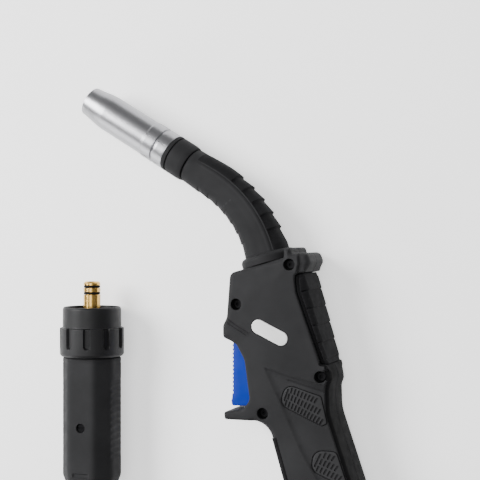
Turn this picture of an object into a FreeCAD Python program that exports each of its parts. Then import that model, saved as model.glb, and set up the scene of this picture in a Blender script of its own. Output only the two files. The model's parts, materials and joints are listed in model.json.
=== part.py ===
import FreeCAD, Part
import math
import os
import re
import Sketcher

# A MIG welding torch lying on its right side, with its cable and central connector.
# Every torch part is drawn about a datum near the neck's mouth, in the plane that
# splits the handle's shells, and then moved so that the torch's box stands on the
# origin. +Z leaves the left side of the handle, +Y runs up the handle to the neck.

os.makedirs("parts", exist_ok=True)
V = FreeCAD.Vector
doc = FreeCAD.newDocument("mig_welding_torch")

# ---------------------------------------------------------------- driving dimensions
DIMENSIONS = {
    # frame: from the drawing datum to the middle of the torch's box
    "shift_x": 3.08,
    "shift_y": 86.48,
    "half_handle": 18.5,
    # nozzle
    "nozzle_length": 65.0,
    "nozzle_radius": 11.6,
    "nozzle_bore": 9.6,
    "nozzle_mouth": 9.4,
    "nozzle_mouth_bore": 7.7,
    "nozzle_taper": 16.0,
    "slot_count": 5,
    "slot_width": 0.5,
    "slot_depth": 0.35,
    # collar and the parts inside the nozzle
    "collar_length": 14.5,
    "collar_radius": 11.6,
    "collar_nose": 9.1,
    "collar_nose_length": 8.0,
    "ring_length": 2.4,
    "diffuser_radius": 6.6,
    "diffuser_length": 20.0,
    "gas_hole": 0.9,
    "gas_holes": 6,
    "holder_radius": 4.6,
    "holder_length": 8.0,
    "tip_radius": 4.0,
    "tip_end_radius": 2.8,
    "tip_length": 30.0,
    "wire_bore": 0.7,
    "spring_wire": 0.6,
    # neck
    "neck_straight": 18.9,
    "neck_bend": 75.5,
    "neck_turn": 42.8,
    "neck_tube_radius": 7.6,
    "neck_tube_bore": 3.4,
    "cover_front": 10.7,
    "cover_rear": 12.9,
    "cover_rear_depth": 12.2,
    "flange_radius": 16.6,
    "flange_length": 6.0,
    "spigot_radius": 10.0,
    # handle
    "wall": 3.0,
    "edge_round": 1.2,
    "boss_radius": 4.6,
    "counterbore": 3.4,
    "counterbore_depth": 6.2,
    "screw_head": 2.8,
    "screw_head_height": 2.0,
    "screw_socket": 1.25,
    "screw_shank": 1.5,
    "screw_reach": 7.0,
    "insert_radius": 2.3,
    "insert_length": 8.0,
    "badge_length": 23.4,
    "badge_width": 8.2,
    "badge_thick": 0.9,
    "badge_tilt": -25.5,
    "pad_depth": 1.2,
    "pad_thick": 1.0,
    # trigger
    "slot_half": 8.4,
    "trigger_half": 8.0,
    "serration": 0.8,
    "pin_radius": 1.5,
    "pin_length": 26.0,
    "pin_fit": 0.05,
    "plunger_radius": 1.3,
    "plunger_fit": 0.05,
    "switch_long": 18.0,
    "switch_high": 9.0,
    "switch_thick": 6.4,
    # cable
    "cable_radius": 6.5,
    "restrictor_length": 81.0,
    "restrictor_neck": 17.5,
    "end_ring_radius": 16.2,
    "end_ring_length": 6.0,
    "liner_radius": 2.3,
    "liner_bore": 1.0,
    "coil_mean": 67.0,
    "coil_pitch": 13.5,
    "coil_x": 14.0,
    "coil_y": -370.0,
    # connector
    "plug_x": -98.4,
    "plug_y": -228.0,
    "plug_z": 20.0,
    "sleeve_radius": 11.0,
    "sleeve_length": 71.0,
    "housing_radius": 18.2,
    "housing_length": 84.0,
    "housing_bore": 12.05,
    "plug_radius": 12.0,
    "plug_flange_radius": 16.0,
    "plug_bore": 2.6,
    "nut_radius": 20.0,
    "nut_front_radius": 18.2,
    "nut_length": 31.5,
    "nut_flutes": 10,
    "nut_bore": 16.8,
    "gas_pin_radius": 5.3,
    "gas_pin_proud": 15.5,
}

sheet = doc.addObject("Spreadsheet::Sheet", "Dims")
for row, (alias, value) in enumerate(DIMENSIONS.items(), start=1):
    sheet.set("A%d" % row, alias.replace("_", " "))
    sheet.set("B%d" % row, str(value))
    sheet.setAlias("B%d" % row, alias)
doc.recompute()


def bound(text):
    """An expression in the sheet's names, as the document reads it."""
    return re.sub(r"\b([a-z][a-z_0-9]*)\b(?!\()", r"Dims.\1", str(text))


def size(text):
    """The value of an expression in the sheet's names."""
    return float(sheet.evalExpression(bound(text)))


# ------------------------------------------------------------------------- directions
nozzle_angle = math.radians(148.5)
ahead = V(math.cos(nozzle_angle), math.sin(nozzle_angle), 0)
handle_angle = math.radians(180 + 148.5 - size("neck_turn"))
down = V(math.cos(handle_angle), math.sin(handle_angle), 0)
across = V(-down.y, down.x, 0)
up = V(0, 0, 1)
shift = V(size("shift_x"), size("shift_y"), size("half_handle"))
collar_rear = V(-31.9, 45.9, 0) + shift


def turned_to(direction, point):
    """A placement that takes +Z to a direction and the origin to a point."""
    return FreeCAD.Placement(point, FreeCAD.Rotation(V(0, 0, 1), direction))


def on_nozzle(distance):
    """A placement on the nozzle's axis, ahead of the collar's rear face."""
    return turned_to(ahead, collar_rear + ahead * distance)


bend_start = collar_rear - ahead * size("neck_straight")
inward = V(ahead.y, -ahead.x, 0) * -1
bend_centre = bend_start + inward * size("neck_bend")


def on_bend(degrees):
    """A point on the neck's bend and the direction towards the handle there."""
    turn = FreeCAD.Rotation(V(0, 0, 1), -degrees)
    point = bend_centre + turn.multVec(bend_start - bend_centre)
    return point, turn.multVec(ahead * -1)


neck_end, _ = on_bend(size("neck_turn"))


def in_handle(along, side=0.0, height=0.0):
    """A point given along the handle's axis from the neck's end, and to its rear."""
    return neck_end + down * along + across * side + up * height


# -------------------------------------------------------------------- making sub-parts
sub_parts = []


def keep(item, label, placement=None):
    item.Label = label
    if placement is not None:
        item.Placement = placement
    sub_parts.append(item)
    return item


def origin_plane(body, role):
    return [item for item in body.Origin.OriginFeatures if item.Role == role][0]


def sketch_on(body, role, name):
    sketch = body.newObject("Sketcher::SketchObject", name)
    sketch.AttachmentSupport = [(origin_plane(body, role), "")]
    sketch.MapMode = "FlatFace"
    return sketch


def bound_polygon(sketch, points):
    """A closed polygon whose corners are bound to expressions in the sheet's names."""
    corners = [V(size(x), size(y), 0) for x, y in points]
    count = len(corners)
    for index in range(count):
        sketch.addGeometry(Part.LineSegment(corners[index], corners[(index + 1) % count]))
    for index in range(count):
        sketch.addConstraint(Sketcher.Constraint("Coincident", index, 2, (index + 1) % count, 1))
    for index, (x, y) in enumerate(points):
        for kind, text, value in (("DistanceX", x, corners[index].x),
                                  ("DistanceY", y, corners[index].y)):
            number = sketch.addConstraint(Sketcher.Constraint(kind, -1, 1, index, 1, value))
            sketch.setExpression("Constraints[%d]" % number, bound(text))


def turned(name, points):
    """A body turned about its own +Z from a half profile of (radius, height) corners."""
    body = doc.addObject("PartDesign::Body", name)
    sketch = sketch_on(body, "XZ_Plane", name + "_profile")
    bound_polygon(sketch, points)
    turn = body.newObject("PartDesign::Revolution", name + "_turn")
    turn.Profile = sketch
    turn.ReferenceAxis = (sketch, ["V_Axis"])
    turn.Angle = 360
    doc.recompute()
    return body


def ring(name, inner, outer, start, end):
    """A turned tube between two radii and two heights."""
    return turned(name, [(inner, start), (outer, start), (outer, end), (inner, end)])


def rounded(points):
    """Line and arc edges round a closed outline of (x, y, corner radius)."""
    edges = []
    count = len(points)
    ends = []
    for index, (x, y, radius) in enumerate(points):
        here = V(x, y, 0)
        before = V(points[index - 1][0], points[index - 1][1], 0) - here
        after_point = points[(index + 1) % count]
        after = V(after_point[0], after_point[1], 0) - here
        if radius <= 0:
            ends.append((here, here, None))
            continue
        half = before.getAngle(after) / 2
        cut = radius / math.tan(half)
        middle = (before.normalize() + after.normalize()).normalize()
        crown = here + middle * (radius / math.sin(half) - radius)
        ends.append((here + before * cut, here + after * cut, crown))
    for index, (start, end, crown) in enumerate(ends):
        if crown is not None:
            edges.append(Part.Arc(start, crown, end))
        following = ends[(index + 1) % count][0]
        if (following - end).Length > 1e-6:
            edges.append(Part.LineSegment(end, following))
    return edges


def flat_face(points):
    wire = Part.Wire([edge.toShape() for edge in rounded(points)])
    return Part.Face(wire)


def prism(points, low, high):
    """An outline of (x, y, corner radius) about the datum, raised between two heights."""
    face = flat_face(points)
    face.translate(V(shift.x, shift.y, shift.z + low))
    return face.extrude(V(0, 0, high - low))


def bar(start, end, radius):
    """A round bar between two points."""
    return Part.makeCylinder(radius, (end - start).Length, start, end - start)


def free_shape(label, shape):
    """A sub-part whose shape comes from Part's own functions."""
    item = doc.addObject("Part::Feature", label)
    item.Shape = shape
    return keep(item, label)


def polygon(pairs, radius=0.0):
    return [(x, y, radius) for x, y in pairs]


# --------------------------------------------------------------------------- the nozzle
nozzle_body = turned("nozzle_blank", [
    ("nozzle_bore", 0),
    ("nozzle_radius - 0.4", 0),
    ("nozzle_radius", 0.5),
    ("nozzle_radius", 7.3),
    ("nozzle_radius - 0.5", 7.6),
    ("nozzle_radius - 0.5", 8.5),
    ("nozzle_radius", 8.8),
    ("nozzle_radius", 16.6),
    ("nozzle_radius - 0.35", 16.9),
    ("nozzle_radius - 0.35", "nozzle_length - nozzle_taper"),
    ("nozzle_radius - 0.75", "nozzle_length - nozzle_taper * 0.72"),
    ("nozzle_mouth + 0.55", "nozzle_length - nozzle_taper * 0.36"),
    ("nozzle_mouth", "nozzle_length - 2"),
    ("nozzle_mouth - 0.3", "nozzle_length"),
    ("nozzle_mouth_bore", "nozzle_length"),
    ("nozzle_mouth_bore", "nozzle_length - 8"),
    ("nozzle_bore", "nozzle_length - nozzle_taper - 4"),
])
grip_lines = []
for index in range(int(size("slot_count"))):
    for start, length in ((2.4, 4.6), (9.4, 6.8)):
        line = Part.makeBox(2, size("slot_width"), length,
                            V(size("nozzle_radius - slot_depth"), -size("slot_width") / 2, start))
        line.rotate(V(0, 0, 0), V(0, 0, 1), 33 + 360.0 * index / size("slot_count"))
        grip_lines.append(line)
nozzle = doc.addObject("Part::Feature", "gas_nozzle")
nozzle.Shape = nozzle_body.Shape.cut(Part.makeCompound(grip_lines))
keep(nozzle, "gas_nozzle", on_nozzle(size("collar_length")))

# ------------------------------------------------------------- collar and its front ring
collar = turned("collar", [
    ("neck_tube_radius + 0.05", 0),
    ("collar_radius - 0.5", 0),
    ("collar_radius", 0.5),
    ("collar_radius", "collar_length - ring_length - 0.8"),
    ("collar_radius - 0.8", "collar_length - ring_length - 0.8"),
    ("collar_radius - 0.8", "collar_length - ring_length"),
    ("collar_nose", "collar_length - ring_length"),
    ("collar_nose", "collar_length + collar_nose_length - 0.8"),
    ("collar_nose - 0.6", "collar_length + collar_nose_length"),
    ("neck_tube_radius + 0.05", "collar_length + collar_nose_length"),
])
keep(collar, "insulating_collar", on_nozzle(0))
front_ring = ring("front_ring", "collar_nose + 0.02", "collar_radius", 0, "ring_length - 0.3")
keep(front_ring, "collar_ring", on_nozzle(size("collar_length - ring_length")))

# ------------------------------------------------------------- parts inside the nozzle
tube_front = size("collar_length") + 4.0
diffuser_front = tube_front + size("diffuser_length")
holder_front = diffuser_front + size("holder_length")

diffuser_body = turned("diffuser_blank", [
    ("neck_tube_bore", 0),
    ("diffuser_radius + 0.7", 0),
    ("diffuser_radius + 0.7", 4),
    ("diffuser_radius", 4),
    ("diffuser_radius", "diffuser_length - 1.5"),
    ("diffuser_radius - 1.5", "diffuser_length"),
    ("neck_tube_bore", "diffuser_length"),
])
gas_ports = []
for index in range(int(size("gas_holes"))):
    port = Part.makeCylinder(size("gas_hole"), 10, V(0, 0, size("diffuser_length") - 5), V(1, 0, 0))
    port.rotate(V(0, 0, 0), V(0, 0, 1), 360.0 * index / size("gas_holes"))
    gas_ports.append(port)
diffuser = doc.addObject("Part::Feature", "gas_diffuser")
diffuser.Shape = diffuser_body.Shape.cut(Part.makeCompound(gas_ports))
keep(diffuser, "gas_diffuser", on_nozzle(tube_front))

holder = turned("holder", [
    ("liner_radius + 0.1", 0),
    ("holder_radius", 0),
    ("holder_radius", "holder_length - 0.6"),
    ("holder_radius - 0.6", "holder_length"),
    ("liner_radius + 0.1", "holder_length"),
])
keep(holder, "tip_holder", on_nozzle(diffuser_front))

contact_tip = turned("tip", [
    ("wire_bore", 0),
    ("tip_radius", 0),
    ("tip_radius", "tip_length - 9"),
    ("tip_end_radius", "tip_length - 0.5"),
    ("tip_end_radius - 0.4", "tip_length"),
    ("wire_bore", "tip_length"),
])
keep(contact_tip, "contact_tip", on_nozzle(holder_front))

spring_turns = Part.makeHelix(2.0, 8.0, size("diffuser_radius") + 1.6)
spring_section = Part.Wire(Part.makeCircle(size("spring_wire"), V(size("diffuser_radius") + 1.6, 0, 0),
                                           V(0, 1, 0)))
spring = doc.addObject("Part::Feature", "nozzle_spring")
spring.Shape = Part.Wire(spring_turns).makePipeShell([spring_section], True, True)
keep(spring, "nozzle_spring", on_nozzle(tube_front + 5.5))

# ---------------------------------------------------------------------------- the neck


def along_neck(front, end, radius):
    """A round bar along the neck's axis, bend and all, between two of its stations."""
    start = collar_rear + ahead * front
    middle, _ = on_bend(size("neck_turn") / 2)
    path = [Part.LineSegment(start, bend_start).toShape(),
            Part.Arc(bend_start, middle, neck_end).toShape()]
    if end > 0:
        path.append(Part.LineSegment(neck_end, in_handle(end)).toShape())
    section = Part.Wire(Part.makeCircle(radius, start, ahead * -1))
    return Part.Wire(path).makePipeShell([section], True, False)


tube_end = 30.0
cable_start = 44.0
free_shape("neck_tube", along_neck(tube_front, tube_end, size("neck_tube_radius")).cut(
    along_neck(tube_front, tube_end, size("neck_tube_bore"))))
free_shape("wire_liner", along_neck(holder_front - 2, cable_start, size("liner_radius")).cut(
    along_neck(holder_front - 2, cable_start, size("liner_bore"))))


def cover_section(point, direction, width, depth):
    side = direction.cross(up)
    ellipse = Part.Ellipse(V(0, 0, 0), width, depth).toShape()
    wire = Part.Wire(ellipse)
    wire.Placement = FreeCAD.Placement(point, FreeCAD.Rotation(side, up, direction, "ZXY"))
    return wire


cover_sections = [cover_section(collar_rear, ahead * -1, size("cover_front") + 0.02,
                                size("cover_front"))]
section_count = 5
for index in range(section_count + 1):
    share = index / section_count
    point, direction = on_bend(size("neck_turn") * share)
    grown = (0.35 + 0.65 * share)
    cover_sections.append(cover_section(
        point, direction,
        size("cover_front") + grown * size("cover_rear - cover_front"),
        size("cover_front") + grown * size("cover_rear_depth - cover_front")))
cover = Part.makeLoft(cover_sections, True, False)
free_shape("neck_cover", cover.cut(along_neck(0.5, 1, size("neck_tube_radius") + 0.05)))

flange = turned("flange", [
    ("neck_tube_radius + 0.05", 0),
    ("flange_radius - 1", 0),
    ("flange_radius", 1),
    ("flange_radius", "flange_length"),
    ("spigot_radius", "flange_length"),
    ("spigot_radius", "flange_length + 5"),
    ("neck_tube_radius + 0.05", "flange_length + 5"),
])
keep(flange, "neck_flange", turned_to(down, in_handle(0.02)))

# ------------------------------------------------------------------------- the handle
# Corners of the handle's outline, seen from its left side, with their radii: the top
# edge under the flange, the hang hook, the spine, the lower end, the grip's front,
# the finger guard and the lip over the trigger.
OUTLINE = [
    (-0.8, -19.4, 4.0), (32.2, -10.2, 0.6), (32.5, -4.6, 1.0), (36.4, -4.3, 1.6),
    (37.4, -7.6, 1.0), (46.2, -7.2, 3.2), (48.2, -13.6, 3.0), (44.9, -19.4, 1.6),
    (60.9, -78.8, 3.0), (59.2, -85.5, 6.0), (59.6, -99.0, 25.0), (74.0, -141.3, 60.0),
    (86.5, -193.7, 1.5), (54.9, -203.1, 1.5), (32.8, -139.0, 60.0), (22.9, -105.3, 12.0),
    (-3.6, -105.4, 1.5), (-4.2, -100.9, 1.5), (7.4, -99.0, 2.5), (11.9, -93.6, 5.0),
    (8.6, -70.0, 10.0), (3.6, -61.0, 2.0), (-5.2, -57.3, 2.4), (-5.2, -50.2, 3.0),
    (-2.8, -45.5, 6.0),
]
CAVITY = polygon([
    (5.0, -22.3), (32.3, -14.4), (36.0, -23.5), (51.0, -72.0), (55.3, -84.5), (55.7, -98.5),
    (70.0, -141.8), (81.0, -187.5), (56.4, -194.7), (36.8, -140.5), (30.6, -117.5),
    (27.0, -108.0), (25.4, -96.0), (14.9, -96.0), (14.9, -56.0), (1.8, -53.5), (0.9, -44.0),
    (2.2, -26.0),
])
REAR_GRIP = polygon([(39.2, -23.0), (47.5, -23.0), (60.6, -71.0), (54.6, -71.0), (40.4, -30.0)])
TRIGGER_SLOT = polygon([(-7.0, -58.0), (17.0, -57.0), (17.0, -100.3), (-7.0, -100.3)])
SPINE = [(44.2, -16.0), (60.7, -78.4), (59.4, -86.0), (59.6, -99.0), (74.0, -141.3), (87.2, -196.5)]
SCREWS = [(36.3, -14.1), (3.9, -37.6), (54.8, -78.1), (20.3, -100.6), (43.6, -152.0),
          (78.8, -181.0)]
PADS = [
    [(30.8, -94.8, 5.6), (34.3, -82.6, 5.6), (55.3, -89.0, 2.0), (58.9, -104.4, 1.3),
     (56.0, -106.0, 1.3)],
    [(49.8, -131.6, 5.6), (50.6, -119.8, 6.2), (64.2, -120.0, 3.0), (71.4, -140.6, 1.3),
     (68.6, -139.6, 1.3)],
]
BADGE = (24.7, -53.5)
TRIGGER_PIN = (8.0, -62.5)
# How far in and how deep the corner is taken off along each run of the spine: more
# beside the rear grip than on the grip below it.
BEVELS = [(6.5, 10.0), (1.6, 3.0), (1.6, 3.0), (1.6, 3.0), (1.6, 3.0)]
BEVEL_BEYOND, BEVEL_OVERLAP = 6.0, 1.5
half = size("half_handle")


def at(spot, height=0.0):
    return V(spot[0], spot[1], height) + shift


def spine_bevels():
    """Wedges that take the corner off the spine, on both sides of the handle."""
    wedges = []
    for first, last, (bevel_in, bevel_down) in zip(SPINE, SPINE[1:], BEVELS):
        start, end = at(first), at(last)
        run = (end - start).normalize()
        outward = V(-run.y, run.x, 0)
        start, end = start - run * BEVEL_OVERLAP, end + run * BEVEL_OVERLAP
        beyond_down = bevel_down * (1 + BEVEL_BEYOND / bevel_in)
        for side in (1, -1):
            corners = [start - outward * bevel_in + up * side * (half + 0.01),
                       start + outward * BEVEL_BEYOND + up * side * (half + 0.01),
                       start + outward * BEVEL_BEYOND + up * side * (half - beyond_down),
                       start + up * side * (half - bevel_down)]
            face = Part.Face(Part.makePolygon(corners + corners[:1]))
            wedges.append(face.extrude(end - start))
    return wedges


def screw_bosses(side):
    low, high = (0.0, half - 1.0) if side > 0 else (-half + 1.0, 0.0)
    return [Part.makeCylinder(size("boss_radius"), high - low, at(spot, low)) for spot in SCREWS]


def badge_outline(grow):
    """The badge's round-ended outline, tilted, larger all round by grow."""
    reach = size("badge_length") / 2 + grow
    rise = size("badge_width") / 2 + grow
    tilt = math.radians(size("badge_tilt"))
    corners = []
    for x, y in ((-reach, -rise), (reach, -rise), (reach, rise), (-reach, rise)):
        corners.append((BADGE[0] + x * math.cos(tilt) - y * math.sin(tilt),
                        BADGE[1] + x * math.sin(tilt) + y * math.cos(tilt), rise - 0.02))
    return corners


SPIGOT_ROOM = 16.0
CABLE_DOOR, CABLE_DOOR_END, CABLE_DOOR_GAP = 186.0, 206.0, 3.6
PIN_SOCKET_HALF = 13.05
POCKET_GAP = 0.1


def shell(side):
    """One half of the handle: its skin, screw bosses, sockets and pockets."""
    low, high = (0.0, half) if side > 0 else (-half, 0.0)
    blank = prism(OUTLINE, low, high)
    outer = [face for face in blank.Faces
             if abs(face.CenterOfMass.z - (shift.z + side * half)) < 1e-6][0]
    skin = blank.makeFillet(size("edge_round"), outer.Edges)
    inner_low = 0.0 if side > 0 else -half + size("wall")
    hollow = prism(CAVITY, inner_low, inner_low + half - size("wall"))
    for boss in screw_bosses(side):
        hollow = hollow.cut(boss)
    tools = [hollow, prism(REAR_GRIP, low - 1, high + 1)]
    tools.append(prism(TRIGGER_SLOT, -size("slot_half"), size("slot_half")))
    tools.append(bar(in_handle(-2), in_handle(SPIGOT_ROOM), size("spigot_radius") + 0.05))
    tools.append(bar(in_handle(-3), in_handle(size("flange_length + 0.05")),
                     size("flange_radius") + 0.05))
    tools.append(bar(in_handle(CABLE_DOOR), in_handle(CABLE_DOOR_END),
                     size("cable_radius") + CABLE_DOOR_GAP))
    tools.append(Part.makeCylinder(size("pin_radius") + 0.02, 2 * PIN_SOCKET_HALF,
                                   at(TRIGGER_PIN, -PIN_SOCKET_HALF)))
    face_height = side * half
    pockets = [(badge_outline(0.05), size("badge_thick") + POCKET_GAP)]
    pockets += [(pad, size("pad_depth")) for pad in PADS]
    for outline, depth in pockets:
        bottom = face_height - depth if side > 0 else face_height - 1
        tools.append(prism(outline, bottom, bottom + depth + 1))
    for spot in SCREWS:
        if side > 0:
            tools.append(Part.makeCylinder(size("screw_shank") + 0.2, half + 1, at(spot, -0.5)))
            tools.append(Part.makeCylinder(size("counterbore"), 10,
                                           at(spot, half - size("counterbore_depth"))))
        else:
            tools.append(Part.makeCylinder(size("insert_radius") + 0.02,
                                           size("insert_length") + 0.5,
                                           at(spot, -size("insert_length"))))
    tools.append(in_front_strip(0.02))
    tools.extend(spine_bevels())
    for tool in tools:
        skin = skin.cut(tool)
    return skin


STRIP_START, STRIP_END = (25.6, -114.4), (52.6, -196.4)
STRIP_DEPTH, STRIP_HALF, STRIP_PROUD = 2.2, 5.0, 1.2


def in_front_strip(gap):
    """The strip let into the front of the lower grip, larger all round by gap."""
    start, end = at(STRIP_START), at(STRIP_END)
    run = (end - start).normalize()
    inside = V(-run.y, run.x, 0)
    corners = [start - inside * STRIP_PROUD, start + inside * (STRIP_DEPTH + gap),
               end + inside * (STRIP_DEPTH + gap), end - inside * STRIP_PROUD]
    reach = STRIP_HALF + gap
    face = Part.Face(Part.makePolygon([corner - up * reach for corner in corners + corners[:1]]))
    return face.extrude(up * 2 * reach)


free_shape("handle_shell_left", shell(1))
free_shape("handle_shell_right", shell(-1))
free_shape("front_strip", in_front_strip(0.0).common(prism(OUTLINE, -half, half)))
grip = prism(REAR_GRIP, -half, half).common(prism(OUTLINE, -half, half))
for wedge in spine_bevels():
    grip = grip.cut(wedge)
GROOVES, GROOVE_PITCH, GROOVE_WIDTH, GROOVE_TILT = 4, 9.9, 1.0, 15
GROOVE_START, GROOVE_RUN = (45.0, -23.0), V(13.0, -48.0, 0).normalize()
GROOVE_DEPTH = V(-0.8, -0.2, 0)
for index in range(1, GROOVES + 1):
    groove = Part.makeBox(14, GROOVE_WIDTH, 2 * half + 2, V(-3, -GROOVE_WIDTH / 2, -half - 1))
    groove.Placement = FreeCAD.Placement(at(GROOVE_START) + GROOVE_RUN * (index * GROOVE_PITCH),
                                         FreeCAD.Rotation(V(0, 0, 1), GROOVE_TILT))
    rim = prism(REAR_GRIP, -half, half).common(groove)
    core = rim.copy()
    core.translate(GROOVE_DEPTH)
    grip = grip.cut(rim.cut(core))
free_shape("rear_grip", grip)

for name, side in (("left", 1), ("right", -1)):
    pads = []
    for pad in PADS:
        bottom = side * (half - POCKET_GAP) - (size("pad_thick") if side > 0 else 0)
        pads.append(prism(pad, bottom, bottom + size("pad_thick")))
    free_shape("grip_pads_" + name, Part.makeCompound(pads))
    badge_bottom = side * (half - POCKET_GAP) - (size("badge_thick") if side > 0 else 0)
    free_shape("badge_" + name, prism(badge_outline(0), badge_bottom,
                                      badge_bottom + size("badge_thick")))

screw_top = half - size("counterbore_depth")
screws, inserts = [], []
for spot in SCREWS:
    head = Part.makeCylinder(size("screw_head"), size("screw_head_height"), at(spot, screw_top))
    head = head.makeFillet(0.5, [head.Edges[0]])
    turns = [math.radians(60 * corner) for corner in range(6)]
    socket = flat_face(polygon([(size("screw_socket") * math.cos(turn),
                                 size("screw_socket") * math.sin(turn)) for turn in turns]))
    socket.translate(at(spot, screw_top + 0.8))
    shank = Part.makeCylinder(size("screw_shank"), screw_top + size("screw_reach"),
                              at(spot, -size("screw_reach")))
    screws.append(head.fuse(shank).cut(socket.extrude(V(0, 0, size("screw_head_height")))))
    insert = Part.makeCylinder(size("insert_radius"), size("insert_length") - 0.5,
                               at(spot, -size("insert_length")))
    inserts.append(insert.cut(Part.makeCylinder(size("screw_shank") + 0.02, 20, at(spot, -10))))
free_shape("handle_screws", Part.makeCompound(screws))
free_shape("screw_inserts", Part.makeCompound(inserts))

# ------------------------------------------------------------------ trigger and switch
TRIGGER = [
    (-2.3, -58.8, 1.2), (-2.3, -93.6, 2.0), (-2.9, -95.4, 1.0), (-2.3, -98.4, 1.0),
    (9.0, -98.0, 3.5), (11.2, -93.0, 1.0), (11.2, -81.0, 0.5), (13.2, -79.4, 0.6),
    (13.2, -72.4, 0.6), (11.6, -71.0, 0.5), (12.6, -58.3, 3.0),
]
trigger_half = size("trigger_half")
trigger = prism(TRIGGER, -trigger_half, trigger_half)
side_edges = []
for face in trigger.Faces:
    if abs(abs(face.CenterOfMass.z - shift.z) - trigger_half) < 1e-6:
        side_edges.extend(face.Edges)
trigger = trigger.makeFillet(0.4, side_edges)
SERRATIONS, SERRATION_PITCH, FIRST_SERRATION = 13, 2.42, (-2.65, -61.4)
for index in range(SERRATIONS):
    spot = (FIRST_SERRATION[0], FIRST_SERRATION[1] - SERRATION_PITCH * index)
    trigger = trigger.cut(Part.makeCylinder(size("serration"), 2 * trigger_half + 1,
                                            at(spot, -trigger_half - 0.5)))
trigger = trigger.cut(Part.makeCylinder(size("pin_radius") + size("pin_fit"), 2 * trigger_half + 2,
                                        at(TRIGGER_PIN, -trigger_half - 1)))
SPRING_SPOT, SPRING_POCKET_END, SPRING_POCKET_RADIUS = (9.0, -87.0), (14.0, -87.0), 2.9
trigger = trigger.cut(bar(at(SPRING_SPOT), at(SPRING_POCKET_END), SPRING_POCKET_RADIUS))
free_shape("trigger", trigger)

pin = doc.addObject("Part::Cylinder", "pin")
pin.setExpression("Radius", bound("pin_radius"))
pin.setExpression("Height", bound("pin_length"))
keep(pin, "trigger_pin", FreeCAD.Placement(at(TRIGGER_PIN, -size("pin_length") / 2),
                                           FreeCAD.Rotation()))

trigger_spring = doc.addObject("Part::Feature", "trigger_spring")
spring_length, spring_wire, spring_radius = 13.0, 0.35, 2.2
coils = Part.makeHelix(2.0, spring_length - 2 * spring_wire, spring_radius)
coil_section = Part.Wire(Part.makeCircle(spring_wire, V(spring_radius, 0, 0), V(0, 1, 0)))
trigger_spring.Shape = Part.Wire(coils).makePipeShell([coil_section], True, True)
keep(trigger_spring, "trigger_spring",
     turned_to(V(1, 0, 0), at((SPRING_SPOT[0] + spring_wire + 0.1, SPRING_SPOT[1]))))
seat_half = half - size("wall") - 0.1
seat_corner = (SPRING_SPOT[0] + spring_length + 0.2, -91.2)
free_shape("spring_seat", Part.makeBox(2.0, 7.0, 2 * seat_half, at(seat_corner, -seat_half)))

switch_x, switch_top, plunger_y = 15.8, -65.6, -76.0
case = Part.makeBox(size("switch_high"), size("switch_long"), size("switch_thick"),
                    at((switch_x, switch_top - size("switch_long")), -size("switch_thick") / 2))
for y in (-68.0, -81.2):
    case = case.cut(Part.makeCylinder(1.1, size("switch_thick") + 2,
                                      at((switch_x + 6.2, y), -size("switch_thick") / 2 - 1)))
case = case.cut(bar(at((switch_x - 1, plunger_y)), at((switch_x + 6.0, plunger_y)),
                    size("plunger_radius + plunger_fit")))
free_shape("microswitch", case)
plunger = turned("plunger", [
    (0, 0), ("plunger_radius", 0), ("plunger_radius", 4.7), ("plunger_radius - 0.5", 5.4), (0, 5.6),
])
keep(plunger, "switch_plunger", turned_to(V(-1, 0, 0), at((19.1, plunger_y))))
WIRE_START, WIRE_BEND, WIRE_END, WIRE_RADIUS = (25.5, -80.0), (29.0, -89.0), (34.0, -101.5), 0.6
wire_pair = []
for side in (1, -1):
    start, bend = at(WIRE_START, side * 1.8), at(WIRE_BEND, side * 5.5)
    end = at(WIRE_END, side * 9.0)
    wire = bar(start, bend, WIRE_RADIUS).fuse(bar(bend, end, WIRE_RADIUS))
    wire_pair.append(wire.fuse(Part.makeSphere(WIRE_RADIUS, bend)))
free_shape("switch_wires", Part.makeCompound(wire_pair))

# ------------------------------------------------------- clamp, crimp and cable inside
clamp_start, clamp_end, clamp_half_width, clamp_half_height = 14.0, 38.0, 11.0, 10.0
block = Part.makeBox(2 * clamp_half_width, 2 * clamp_half_height, clamp_end - clamp_start)
block.Placement = FreeCAD.Placement(
    in_handle(clamp_start, -clamp_half_width, -clamp_half_height),
    FreeCAD.Rotation(across, up, down, "ZXY"))
block = block.cut(bar(in_handle(10), in_handle(50), size("neck_tube_radius") + 0.05))
set_screws = []
for along in (19.0, 26.0):
    block = block.cut(bar(in_handle(along), in_handle(along, 0, 14), 2.02))
    set_screws.append(bar(in_handle(along, 0, size("neck_tube_radius") + 0.05),
                          in_handle(along, 0, clamp_half_height + 1), 2.0))
free_shape("neck_clamp_block", block)
free_shape("clamp_screws", Part.makeCompound(set_screws))

crimp_length, crimp_seat = 24, 14
crimp = turned("crimp", [
    ("liner_radius + 0.05", 0),
    ("neck_tube_radius - 0.2", 0),
    ("neck_tube_radius - 0.2", crimp_length),
    ("cable_radius + 0.02", crimp_length),
    ("cable_radius + 0.02", crimp_seat),
    ("liner_radius + 0.05", crimp_seat),
])
keep(crimp, "cable_crimp", turned_to(down, in_handle(tube_end + 0.02)))

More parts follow.
